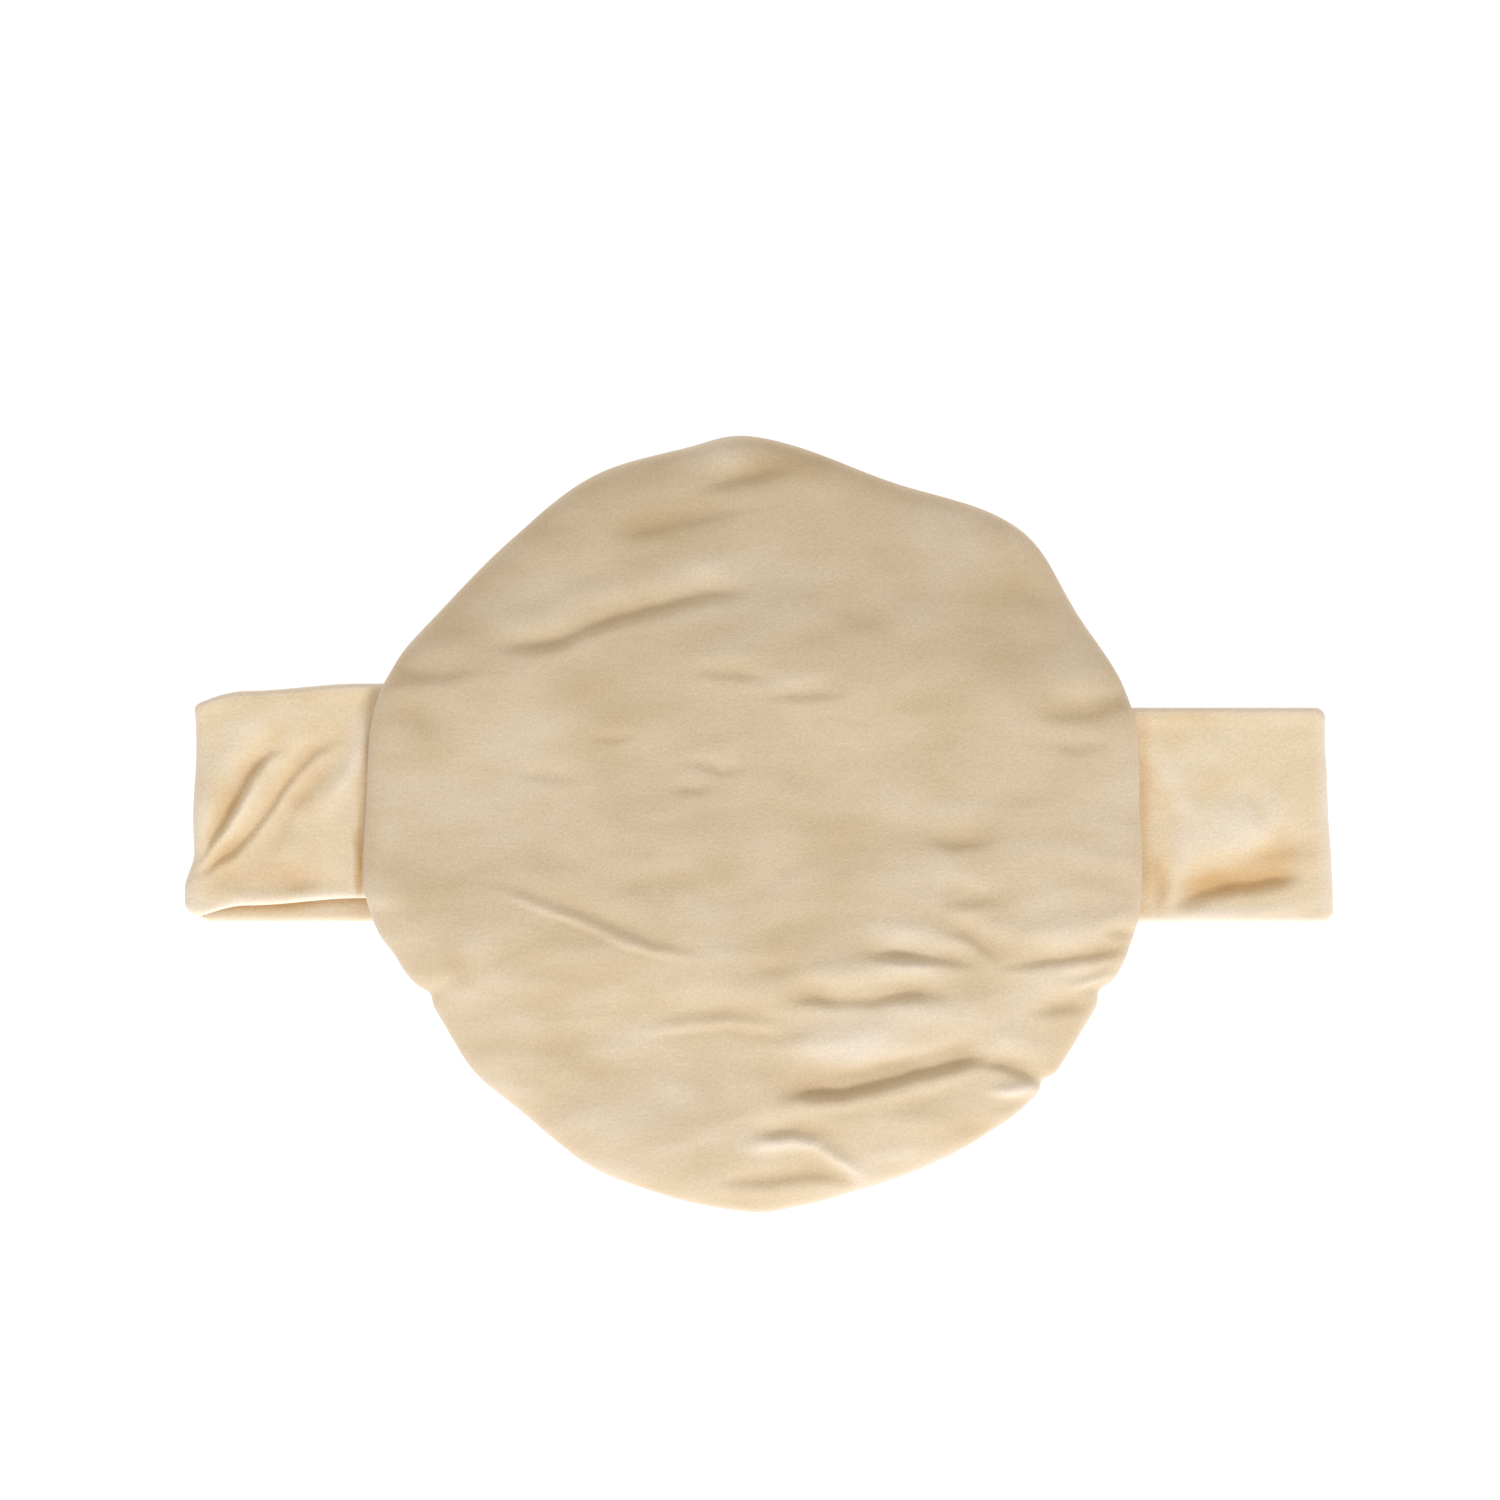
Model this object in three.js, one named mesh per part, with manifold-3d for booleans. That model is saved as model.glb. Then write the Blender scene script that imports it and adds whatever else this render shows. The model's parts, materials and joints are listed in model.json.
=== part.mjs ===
// A round plush eye mask on a wide flat head band, lying face up with the band folded flat behind it.
// Millimetres. +X is to the right and +Y is up as the mask is looked at, +Z is out of its front face.
// The origin is on the surface that the mask lies on, under the middle of its overall box.

import * as THREE from "three";
import { mergeVertices } from "three/addons/utils/BufferGeometryUtils.js";
import Module from "manifold-3d";

// Driving dimensions
const FOLD_REACH = 133.5; // from the origin to the outside of each side fold
const PAD_X = -2.1; // the pad's centre
const PAD_RADIUS = 89; // the radius that the outline's points vary about
const DOME = 12; // the front cover's rise above the edge seam
const DISH = 3; // the back cover's fall below the edge seam
const FABRIC = 1.2; // one layer of velour with its pile
const GAP = 0.3; // between pieces that touch
const BAND_WIDTH = 50;
const BAND_Y = 2.3; // the band's centre line
const BAND = 2.6; // the band's thickness, two layers of velour with elastic between them
const BAND_SKIN = 0.7; // one of those layers, pressed
const ELASTIC_WIDTH = 40;
const TAPE = 0.8; // one half of the hook and loop tape
const TAPE_LENGTH = 40;
const TAPE_WIDTH = 40;
const TAPE_INSET = 4; // of a tape's end from the peel line
const TAB_LENGTH = 48; // the closure tab, from its peel line to its free end
const NECK_LENGTH = 9; // from the closure's flex line to its peel line
const CLIMB = 12.5; // the length over which the left back layer rises onto the tab
const CLIMB_STEPS = 8;
const HINGE_LEFT = -93.2; // where the left strap leaves the pad's edge seam
const HINGE_RIGHT = 90.2;
const CLOSURE_X = (HINGE_LEFT + HINGE_RIGHT) / 2; // where the two halves of the band meet
const PEEL_X = CLOSURE_X - NECK_LENGTH;
const LAP_CLEARANCE = 4; // between the lapping end and the line that the closure flexes about
const TAB_CLEARANCE = 3; // between the tab's free end and the top of the climb over it
const TAB_CORNER = 6;
const TAPE_CORNER = 3;
const CLOSED_END = 3; // how far the elastic's channel stops short of a closed end of the band
const OPEN_END = 1; // and how far past an open one its cutter runs
const ELASTIC_INSET = 2; // of the elastic from its channel's end
const ROOT_LENGTH = 8; // the end of each strap that the edge seam holds
const THREAD = 0.35; // radius
const SEGMENTS = 48; // round the pad
const DOME_SQUARENESS = 2.8; // 2 is an ellipse, and more is flatter on top and rounder at the edge
const DOME_STEPS = 7;

// Heights of the stack at the closure, from the surface up
const TAB_Z = BAND / 2;
const HOOK_Z = BAND + GAP + TAPE / 2;
const LOOP_Z = HOOK_Z + TAPE + GAP;
const LAPPED_Z = LOOP_Z + TAPE / 2 + GAP + BAND / 2;
const LIFT = BAND + GAP; // how far the band's back layer holds the pad's middle off the surface
// How much further the closure pushes the pad's back in.
const CLOSURE_RISE = LAPPED_Z + BAND / 2 + GAP - LIFT;
const SEAM_DROP = DISH + GAP / 2; // the edge seam's height where the pad lies on the surface
const SEAM_Z = LIFT + SEAM_DROP; // and where the straps leave it, over the band
const FOLD_RADIUS = (SEAM_Z + BAND / 2) / 2; // outside a side fold, which stands on the surface
const FOLD_CENTRE = FOLD_REACH - FOLD_RADIUS;
const LINER = 0.4;
const LINER_BOTTOM = FABRIC + GAP / 2 - DISH; // above the back cover, from the seam's height
const FLAT_RADIUS = 80; // inside this, the pad's lower layers are flat apart from their drape
const FLAT_RINGS = 5;
const HINGE_ROOM = BAND / 2 + GAP; // how far a layer stops short of a line that the band bends about
const PEEL_ROOM = 2.6; // the same at the peel line, where the tab opens past a right angle

// The pad's outline as [degrees from +X, radius], anticlockwise: cut as a circle, it has settled uneven.
const OUTLINE = [
  [0, 90.3], [11, 91.4], [19, 92.4], [31, 90.1], [41, 91.9], [50, 92.3], [60, 88.0], [71, 85.9],
  [82, 88.3], [91, 90.1], [100, 89.1], [114, 89.1], [128, 86.7], [141, 87.1], [150, 89.2], [159, 91.4],
  [179, 90.2], [190, 91.5], [199, 89.0], [209, 85.3], [221, 86.4], [231, 85.9], [246, 88.1], [259, 88.6],
  [270, 90.2], [286, 89.1], [305, 90.1], [319, 91.6], [328, 90.7], [340, 91.9], [349, 92.1], [354, 91.1],
];

const wasm = await Module();
wasm.setup();

// Booleans

function toSolid(geometry) {
  const bare = new THREE.BufferGeometry();
  bare.setAttribute("position", geometry.getAttribute("position"));
  if (geometry.index) bare.setIndex(geometry.index);
  const merged = mergeVertices(bare, 1e-4);
  return new wasm.Manifold(
    new wasm.Mesh({
      numProp: 3,
      vertProperties: new Float32Array(merged.attributes.position.array),
      triVerts: new Uint32Array(merged.index.array),
    }),
  );
}

function toGeometry(solid) {
  const { vertProperties, triVerts } = solid.getMesh();
  const geometry = new THREE.BufferGeometry();
  geometry.setAttribute("position", new THREE.BufferAttribute(vertProperties, 3));
  geometry.setIndex(new THREE.BufferAttribute(triVerts, 1));
  geometry.computeVertexNormals();
  return geometry;
}

function cut(geometry, ...tools) {
  return toGeometry(tools.reduce((solid, tool) => solid.subtract(toSolid(tool)), toSolid(geometry)));
}

// Shared shapes

const smoothstep = (from, to, value) => THREE.MathUtils.smoothstep(value, from, to);

// The outline's radius at an angle in radians, on one smooth closed curve through OUTLINE.
const outlineCurve = new THREE.CubicInterpolant(
  [...OUTLINE.map(([degrees]) => degrees), OUTLINE[0][0] + 360],
  [...OUTLINE.map(([, radius]) => radius), OUTLINE[0][1]],
  1,
);
outlineCurve.settings = { endingStart: THREE.WrapAroundEnding, endingEnd: THREE.WrapAroundEnding };

function outlineRadius(angle) {
  return outlineCurve.evaluate(THREE.MathUtils.euclideanModulo(THREE.MathUtils.radToDeg(angle), 360))[0];
}

// The pad's outline runs a little further up than down, so its centre sits where its box is centred on the
// origin.
const heights = Array.from({ length: SEGMENTS }, (_, i) => {
  const angle = (2 * Math.PI * i) / SEGMENTS;
  return outlineRadius(angle) * Math.sin(angle);
});
const PAD_Y = -(Math.max(...heights) + Math.min(...heights)) / 2;

// How far a point of the pad is lifted. All of it rides up over the band, and its lower layers, which are
// below the seam, give way to the closure too.
function liftAt(x, y, radius, height) {
  const overBand = 1 - smoothstep(30, 58, Math.abs(y - BAND_Y));
  const overClosure = smoothstep(-88, -72, x) * (1 - smoothstep(0, 25, x)) * (1 - smoothstep(80, 86, radius));
  return overBand * (LIFT + (height < 0 ? CLOSURE_RISE * overClosure : 0));
}

// A solid of revolution about Z from a closed profile of [radius, height above the seam], fitted to the
// outline and draped over the band.
function padPiece(profile) {
  const geometry = new THREE.LatheGeometry(profile, SEGMENTS);
  geometry.setIndex(alikeTriangles(profile));
  geometry.rotateX(Math.PI / 2);
  const position = geometry.attributes.position;
  const point = new THREE.Vector3();
  for (let i = 0; i < position.count; i++) {
    point.fromBufferAttribute(position, i);
    const scale = outlineRadius(Math.atan2(point.y, point.x)) / PAD_RADIUS;
    const x = PAD_X + point.x * scale;
    const y = PAD_Y + point.y * scale;
    const radius = Math.hypot(point.x, point.y);
    position.setXYZ(i, x, y, point.z + SEAM_DROP + liftAt(x, y, radius, point.z));
  }
  return geometry;
}

// The faces of a lathed profile, with every square split along the same diagonal whichever way the profile
// runs, so that the facets of a layer's two sides, and of layers that touch, drape alike.
function alikeTriangles(profile) {
  const index = [];
  const column = profile.length;
  for (let turn = 0; turn < SEGMENTS; turn++) {
    for (let row = 0; row < column - 1; row++) {
      const [a, b] = [turn * column + row, (turn + 1) * column + row];
      const outward = profile[row + 1].x > profile[row].x;
      if (outward) index.push(a, b + 1, a + 1, a, b, b + 1);
      else index.push(a, b, a + 1, b, b + 1, a + 1);
    }
  }
  return index;
}

// A quarter of a squared-off oval from the axis, at height rise, out to the given radius at height 0.
function ovalArc(radius, rise, squareness, steps) {
  return Array.from({ length: steps + 1 }, (_, i) => {
    const angle = (Math.PI / 2) * (1 - i / steps);
    const across = i === 0 ? 0 : Math.cos(angle) ** (2 / squareness);
    const up = i === steps ? 0 : Math.sin(angle) ** (2 / squareness);
    return new THREE.Vector2(radius * across, rise * up);
  });
}

// Flat at height rise on rings that every layer shares, so that they drape alike, then a quarter of an
// ellipse from the last ring out to the radius at height 0.
function dishArc(radius, rise) {
  const edge = radius - FLAT_RADIUS;
  const edgeSteps = 4;
  const turn = Array.from({ length: edgeSteps }, (_, i) => {
    const angle = (Math.PI / 2) * (1 - (i + 1) / edgeSteps);
    const height = i === edgeSteps - 1 ? 0 : rise * Math.sin(angle);
    return new THREE.Vector2(FLAT_RADIUS + edge * Math.cos(angle), height);
  });
  return [...flatRings(rise), ...turn];
}

function flatRings(height) {
  const ringAt = (_, i) => new THREE.Vector2((FLAT_RADIUS * i) / FLAT_RINGS, height);
  return Array.from({ length: FLAT_RINGS + 1 }, ringAt);
}

// A flat piece with rounded long edges, lying along a path of [x, height of its middle].
function slab(path, width, thickness) {
  const radius = thickness / 2;
  const straight = width / 2 - radius;
  const section = new THREE.Shape();
  section.absarc(straight, 0, radius, -Math.PI / 2, Math.PI / 2);
  section.absarc(-straight, 0, radius, Math.PI / 2, (3 * Math.PI) / 2);
  const steps = path.length - 1;
  const settings = { depth: steps, steps, bevelEnabled: false, curveSegments: 4 };
  const geometry = new THREE.ExtrudeGeometry(section, settings);
  const lay = new THREE.Matrix4().makeBasis(
    new THREE.Vector3(0, 1, 0),
    new THREE.Vector3(0, 0, 1),
    new THREE.Vector3(1, 0, 0),
  );
  geometry.applyMatrix4(lay).translate(0, BAND_Y, 0);
  const position = geometry.attributes.position;
  for (let i = 0; i < position.count; i++) {
    const [x, height] = path[Math.round(position.getX(i))];
    position.setX(i, x);
    position.setZ(i, position.getZ(i) + height);
  }
  return geometry;
}

// A flat rectangle with rounded corners between two X positions, with its middle at a height.
function plate(from, to, width, height, thickness, corner) {
  const length = to - from;
  const shape = new THREE.Shape();
  const across = length / 2 - corner;
  const along = width / 2 - corner;
  shape.absarc(across, -along, corner, -Math.PI / 2, 0);
  shape.absarc(across, along, corner, 0, Math.PI / 2);
  shape.absarc(-across, along, corner, Math.PI / 2, Math.PI);
  shape.absarc(-across, -along, corner, Math.PI, (3 * Math.PI) / 2);
  const settings = { depth: thickness, bevelEnabled: false, curveSegments: 4 };
  const geometry = new THREE.ExtrudeGeometry(shape, settings);
  return geometry.translate((from + to) / 2, BAND_Y, height - thickness / 2);
}

// Materials

function fabric(color, roughness = 0.95) {
  return new THREE.MeshStandardMaterial({ color, roughness, metalness: 0 });
}

const velour = fabric(0xe6cfae);
const skinVelour = fabric(0xe2cbaa);
const bandVelour = fabric(0xecd3ac);
const lining = fabric(0x35322e, 0.8);
const wadding = fabric(0xf4f1ea);
const elastic = fabric(0xf0ece2, 0.85);
const tape = fabric(0xe9dcc4, 0.7);
const thread = fabric(0xe3caa2, 0.8);

const mask = new THREE.Group();

function add(name, geometry, material) {
  const mesh = new THREE.Mesh(geometry, material);
  mesh.name = name;
  mask.add(mesh);
}

// The pad

// The slot in the edge seam that a strap comes out of, with room all round the strap.
function seamSlot(side) {
  const inner = side * (Math.abs(side < 0 ? HINGE_LEFT : HINGE_RIGHT) - HINGE_ROOM - ROOT_LENGTH - GAP);
  const outer = inner + side * 3 * ROOT_LENGTH;
  const slot = new THREE.BoxGeometry(Math.abs(outer - inner), BAND_WIDTH + 2 * GAP, BAND + 2 * GAP);
  return slot.translate((inner + outer) / 2, BAND_Y, SEAM_Z);
}
const slots = [seamSlot(-1), seamSlot(1)];

function frontCover() {
  const outer = ovalArc(PAD_RADIUS, DOME, DOME_SQUARENESS, DOME_STEPS);
  const inner = ovalArc(PAD_RADIUS - FABRIC, DOME - FABRIC, DOME_SQUARENESS, DOME_STEPS).reverse();
  const raised = [...outer, ...inner].map((point) => point.add(new THREE.Vector2(0, GAP / 2)));
  return cut(padPiece([...raised].reverse()), ...slots);
}

function backCover() {
  const outer = dishArc(PAD_RADIUS, -DISH);
  const inner = dishArc(PAD_RADIUS - FABRIC, FABRIC - DISH).reverse();
  const lowered = [...outer, ...inner].map((point) => point.sub(new THREE.Vector2(0, GAP / 2)));
  return cut(padPiece(lowered), ...slots);
}

function liner() {
  return padPiece([...flatRings(LINER_BOTTOM), ...flatRings(LINER_BOTTOM + LINER).reverse()]);
}

function filling() {
  const radius = PAD_RADIUS - FABRIC - 2 * THREAD - 4 * GAP;
  const over = ovalArc(radius, DOME - FABRIC - GAP, DOME_SQUARENESS, DOME_STEPS).slice(0, -1);
  const under = dishArc(radius, LINER_BOTTOM + LINER + GAP);
  return cut(padPiece([...under, ...over.reverse()]), ...slots);
}

// The thread that closes the edge, in two runs between the straps.
function edgeStitches() {
  const ring = Array.from({ length: 7 }, (_, i) => {
    const angle = (2 * Math.PI * i) / 6;
    const radius = PAD_RADIUS - FABRIC - GAP - THREAD + THREAD * Math.cos(angle);
    return new THREE.Vector2(radius, THREAD * Math.sin(angle));
  });
  const runs = toSolid(cut(padPiece(ring), ...slots)).decompose();
  return runs.map(toGeometry);
}

add("front_cover", frontCover(), velour);
add("back_cover", backCover(), skinVelour);
add("blackout_liner", liner(), lining);
add("filling", filling(), wadding);
const stitches = edgeStitches();
stitches.forEach((stitch) => stitch.computeBoundingBox());
stitches.sort((a, b) => b.boundingBox.max.y - a.boundingBox.max.y);
add("edge_stitch_upper", stitches[0], thread);
add("edge_stitch_lower", stitches[1], thread);

// The band

const level = (from, to, height) => [[from, height], [to, height]];

// A length of band: a velour sleeve with a channel for the elastic, open where the channel runs past its end.
function sleeve(path, channel) {
  return cut(slab(path, BAND_WIDTH, BAND), slab(channel, ELASTIC_WIDTH + 2 * GAP, BAND - 2 * BAND_SKIN));
}

const elasticCore = (path) => slab(path, ELASTIC_WIDTH, BAND - 2 * BAND_SKIN - 2 * GAP);

// The half turn of band at a side fold, round the line where the front layer becomes the back layer.
function sideFold(side) {
  const section = new THREE.Shape();
  section.absarc(0, 0, FOLD_RADIUS, -Math.PI / 2, Math.PI / 2, false);
  section.absarc(0, 0, FOLD_RADIUS - BAND, Math.PI / 2, -Math.PI / 2, true);
  const settings = { depth: BAND_WIDTH, bevelEnabled: false, curveSegments: 10 };
  const geometry = new THREE.ExtrudeGeometry(section, settings);
  geometry.rotateX(Math.PI / 2);
  if (side < 0) geometry.rotateZ(Math.PI);
  return geometry.translate(side * FOLD_CENTRE, BAND_Y + (side * BAND_WIDTH) / 2, FOLD_RADIUS);
}

// One strap's front layer, from the pad's edge seam to its side fold, and the end that the seam holds.
function strap(side, name) {
  const hinge = side < 0 ? HINGE_LEFT : HINGE_RIGHT;
  const [from, to] = [hinge, side * (FOLD_CENTRE - GAP)].sort((a, b) => a - b);
  const held = [hinge - side * HINGE_ROOM, hinge - side * (HINGE_ROOM + ROOT_LENGTH)].sort((a, b) => a - b);
  add(`${name}_strap_root`, slab(level(...held, SEAM_Z), BAND_WIDTH, BAND), bandVelour);
  const channel = level(from - OPEN_END, to + OPEN_END, SEAM_Z);
  add(`${name}_strap_cover`, sleeve(level(from, to, SEAM_Z), channel), bandVelour);
  add(`${name}_strap_elastic`, elasticCore(level(from + ELASTIC_INSET, to - ELASTIC_INSET, SEAM_Z)), elastic);
  add(`${name}_side_fold`, sideFold(side), bandVelour);
}

const fasteningTape = (height) =>
  plate(PEEL_X - TAPE_INSET - TAPE_LENGTH, PEEL_X - TAPE_INSET, TAPE_WIDTH, height, TAPE, TAPE_CORNER);

// The left back layer lies on the surface, then climbs onto the closure tab, to which its loop tape holds.
function leftBack() {
  const foot = PEEL_X - TAB_LENGTH - TAB_CLEARANCE - CLIMB;
  const climb = Array.from({ length: CLIMB_STEPS + 1 }, (_, i) => {
    const along = i / CLIMB_STEPS;
    return [foot + CLIMB * along, TAB_Z + (LAPPED_Z - TAB_Z) * smoothstep(0, 1, along)];
  });
  const lapped = (from, to) => [[from, TAB_Z], ...climb, [to, LAPPED_Z]];
  const from = GAP - FOLD_CENTRE;
  const to = CLOSURE_X - LAP_CLEARANCE;
  add("left_back_cover", sleeve(lapped(from, to), lapped(from - OPEN_END, to - CLOSED_END)), bandVelour);
  const core = lapped(from + ELASTIC_INSET, to - CLOSED_END - ELASTIC_INSET);
  add("left_back_elastic", elasticCore(core), elastic);
  add("loop_tape", fasteningTape(LOOP_Z), tape);
}

function rightBack() {
  const from = CLOSURE_X + HINGE_ROOM;
  const to = FOLD_CENTRE - GAP;
  const channel = level(from + CLOSED_END, to + OPEN_END, TAB_Z);
  add("right_back_cover", sleeve(level(from, to, TAB_Z), channel), bandVelour);
  const core = level(from + CLOSED_END + ELASTIC_INSET, to - ELASTIC_INSET, TAB_Z);
  add("right_back_elastic", elasticCore(core), elastic);
}

// The tab on the right back layer's end: a neck that flexes with the band, and the flap that peels open.
function closure() {
  add("tab_neck", slab(level(PEEL_X + PEEL_ROOM, CLOSURE_X, TAB_Z), BAND_WIDTH, BAND), bandVelour);
  add("closure_tab", plate(PEEL_X - TAB_LENGTH, PEEL_X, BAND_WIDTH, TAB_Z, BAND, TAB_CORNER), bandVelour);
  add("hook_tape", fasteningTape(HOOK_Z), tape);
}

strap(-1, "left");
strap(1, "right");
leftBack();
rightBack();
closure();

export default mask;
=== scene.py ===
# A round plush eye mask on a wide velour head band, lying face up on a white table. Sizes and places come
# from the CAD frame, and the shapes, wrinkles and nap of the cloth are made here, with painted shade in its
# creases and painted highlights on its ridges and edges. Lengths are in millimetres until a mesh is made.

import json
import math

import bpy
import numpy as np
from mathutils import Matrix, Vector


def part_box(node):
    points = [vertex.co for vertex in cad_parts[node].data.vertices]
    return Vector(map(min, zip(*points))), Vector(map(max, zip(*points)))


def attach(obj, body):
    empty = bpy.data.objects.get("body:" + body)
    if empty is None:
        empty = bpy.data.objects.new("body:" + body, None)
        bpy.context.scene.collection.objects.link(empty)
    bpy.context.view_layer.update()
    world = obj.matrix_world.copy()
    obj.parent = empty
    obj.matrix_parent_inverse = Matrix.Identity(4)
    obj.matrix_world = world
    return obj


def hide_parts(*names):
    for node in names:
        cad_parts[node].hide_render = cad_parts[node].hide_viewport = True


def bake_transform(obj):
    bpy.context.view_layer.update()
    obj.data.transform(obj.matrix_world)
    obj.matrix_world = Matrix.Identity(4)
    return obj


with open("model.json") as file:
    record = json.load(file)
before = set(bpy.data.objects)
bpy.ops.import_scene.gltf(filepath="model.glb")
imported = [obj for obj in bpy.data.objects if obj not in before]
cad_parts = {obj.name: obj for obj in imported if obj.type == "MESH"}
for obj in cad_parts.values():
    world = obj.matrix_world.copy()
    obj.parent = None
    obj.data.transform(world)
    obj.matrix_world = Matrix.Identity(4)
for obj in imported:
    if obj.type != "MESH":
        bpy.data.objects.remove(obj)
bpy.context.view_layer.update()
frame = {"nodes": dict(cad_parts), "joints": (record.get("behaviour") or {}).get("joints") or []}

MM = 0.001


# ---------------- sizes from the frame

def span(node):
    """The lowest and highest corners of a CAD node."""
    low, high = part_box(node)
    return np.array(low) / MM, np.array(high) / MM


def vertices(node):
    """A CAD node's vertices as an array of points."""
    mesh = frame["nodes"][node].data
    points = np.empty(3 * len(mesh.vertices), np.float32)
    mesh.vertices.foreach_get("co", points)
    return points.reshape(-1, 3).astype(float) / MM


HINGES = {joint["name"]: np.array(joint["pos_m"]) / MM for joint in frame["joints"]}
NECK_LOW, NECK_HIGH = span("tab_neck")
BAND = NECK_HIGH[2] - NECK_LOW[2]
BAND_WIDTH = NECK_HIGH[1] - NECK_LOW[1]
BAND_Y = (NECK_HIGH[1] + NECK_LOW[1]) / 2
BACK_Z = (NECK_HIGH[2] + NECK_LOW[2]) / 2
ROOT_LOW, ROOT_HIGH = span("left_strap_root")
STRAP_Z = (ROOT_LOW[2] + ROOT_HIGH[2]) / 2
COVER_LOW, COVER_HIGH = span("front_cover")
PAD_X, PAD_Y = (COVER_LOW[:2] + COVER_HIGH[:2]) / 2
SEAM_ON_TABLE = COVER_LOW[2]
DOME = COVER_HIGH[2] - STRAP_Z
PAD_RADIUS = 89  # what the covers' sections are drawn at, before they are fitted to the outline
FOLD_RADIUS = span("left_side_fold")[1][2] / 2
FOLD_LEFT = span("left_side_fold")[0][0] + FOLD_RADIUS
FOLD_RIGHT = span("right_side_fold")[1][0] - FOLD_RADIUS
LAPPED_TOP = span("left_back_cover")[1]
CLOSURE_X = HINGES["closure_flex"][0]
PEEL_X = HINGES["closure_peel"][0]
TAB_END = span("closure_tab")[0][0]
TAB_CLEARANCE = 3.0  # from the tab's free end to the top of the climb over it
CLIMB = 12.5  # the length over which the left back layer rises onto the tab
CLIMB_FOOT = TAB_END - (TAB_CLEARANCE + CLIMB)
BACK_END = CLOSURE_X + 20  # where the right back layer's piece gives way to the tab's neck
LIFT = STRAP_Z - SEAM_ON_TABLE  # how far the band holds the pad's middle off the table
CLOSURE_RISE = LAPPED_TOP[2] - BAND  # how much thicker the band is at its closure
CLOTH = 1.2  # one layer of velour with its pile
ELASTIC_WIDTH, ELASTIC_THICKNESS = 40, 0.6
CHANNEL_WIDTH, CHANNEL_THICKNESS = BAND_WIDTH - 9.4, 1.2  # inside the sleeve, for the elastic
CLOSED_END = 3.0  # how far the channel stops short of a closed end of the sleeve

# The left strap is skewed: its front layer lies this much higher at the fold, and rises this much more on its
# way to the pad
SKEW_AT_FOLD, SKEW_TO_PAD = 3.9, 1.7


# ---------------- numbers

def smoothstep(low, high, value):
    t = np.clip((value - low) / (high - low), 0, 1)
    return t * t * (3 - 2 * t)


def walked_along(line):
    """How far along a line each of its points lies."""
    return np.concatenate([[0], np.cumsum(np.linalg.norm(np.diff(line, axis=0), axis=1))])


def swell(x, y, wavelength, seed, stretch=1.0, count=18):
    """A smooth random surface with unit deviation: waves at random angles, stretched along X."""
    draw = np.random.default_rng(seed)
    total = np.zeros_like(x)
    for _ in range(count):
        angle, phase = draw.uniform(0, 2 * math.pi, 2)
        k = 2 * math.pi / (wavelength * draw.uniform(0.7, 1.5))
        total += np.sin(k * (np.cos(angle) * x / stretch + np.sin(angle) * y) + phase)
    return total / math.sqrt(count / 2)


def fold_relief(x, y, folds):
    """The height that creases and ridges add. Each is (points, height, width above, width below): a line
    drawn from left to right whose two flanks have their own widths, fading out past both ends. A crease has
    a low swelling above it, where the cloth that it takes in has gathered. The lines wander a little."""
    drift_x = 0.4 * swell(x, y, 28, 61) + 0.08 * swell(x, y, 8, 62)
    drift_y = 0.3 * swell(x, y, 28, 63) + 0.08 * swell(x, y, 8, 64)
    strength = np.clip(1 + 0.10 * swell(x, y, 15, 65), 0.6, 1.4)
    x, y = x + drift_x, y + drift_y
    total = np.zeros_like(x)
    for points, height, above, below in folds:
        line = np.array(points, float)
        line[0] += 0.35 * (line[0] - line[1])
        line[-1] += 0.35 * (line[-1] - line[-2])
        reach = 4.5 * max(above, below)
        low, high = line.min(0) - reach, line.max(0) + reach
        inside = (x > low[0]) & (x < high[0]) & (y > low[1]) & (y < high[1])
        if not inside.any():
            continue
        ix, iy = x[inside], y[inside]
        steps = np.diff(line, axis=0)
        lengths = np.hypot(*steps.T)
        before = walked_along(line)
        nearest, side, along = np.full_like(ix, 1e9), np.ones_like(ix), np.zeros_like(ix)
        for start, step, length, walked in zip(line, steps, lengths, before):
            px, py = ix - start[0], iy - start[1]
            share = np.clip((px * step[0] + py * step[1]) / length**2, 0, 1)
            gap = np.hypot(px - share * step[0], py - share * step[1])
            closer = gap < nearest
            nearest = np.where(closer, gap, nearest)
            side = np.where(closer, (step[0] * py - step[1] * px) / length, side)
            along = np.where(closer, (walked + share * length) / before[-1], along)
        upper = smoothstep(-0.5, 0.5, side)
        across = nearest / (0.72 * below + (0.95 * above - 0.72 * below) * upper)
        fading = min(0.45, 12 / before[-1])
        fade = smoothstep(0, fading, along) * smoothstep(1, 1 - fading, along)
        swelling = (0.12 + 0.33 * upper) if height < 0 else 0.22
        gathered = swelling * np.exp(-(((across - 2.1) / 1.1) ** 2))
        total[inside] += height * fade * (np.exp(-(across**2)) - gathered)
    return total * strength


def spots(x, y, places):
    """Soft oval patches, each (x, y, half width, half height, amount)."""
    total = np.zeros_like(x)
    for px, py, wide, high, amount in places:
        total += amount * np.exp(-(((x - px) / wide) ** 2) - ((y - py) / high) ** 2)
    return total


# ---------------- meshes

def make_mesh(name, points, faces, attributes=None, normals=None):
    mesh = bpy.data.meshes.new(name)
    mesh.from_pydata([tuple(p) for p in np.asarray(points) * MM], [], faces)
    mesh.polygons.foreach_set("use_smooth", [True] * len(mesh.polygons))
    for key, values in (attributes or {}).items():
        mesh.attributes.new(key, "FLOAT", "POINT").data.foreach_set("value", np.asarray(values, np.float32))
    mesh.update()
    if normals is not None:
        mesh.normals_split_custom_set_from_vertices([tuple(n) for n in normals])
    piece = bpy.data.objects.new(name, mesh)
    bpy.context.scene.collection.objects.link(piece)
    return piece


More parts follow.
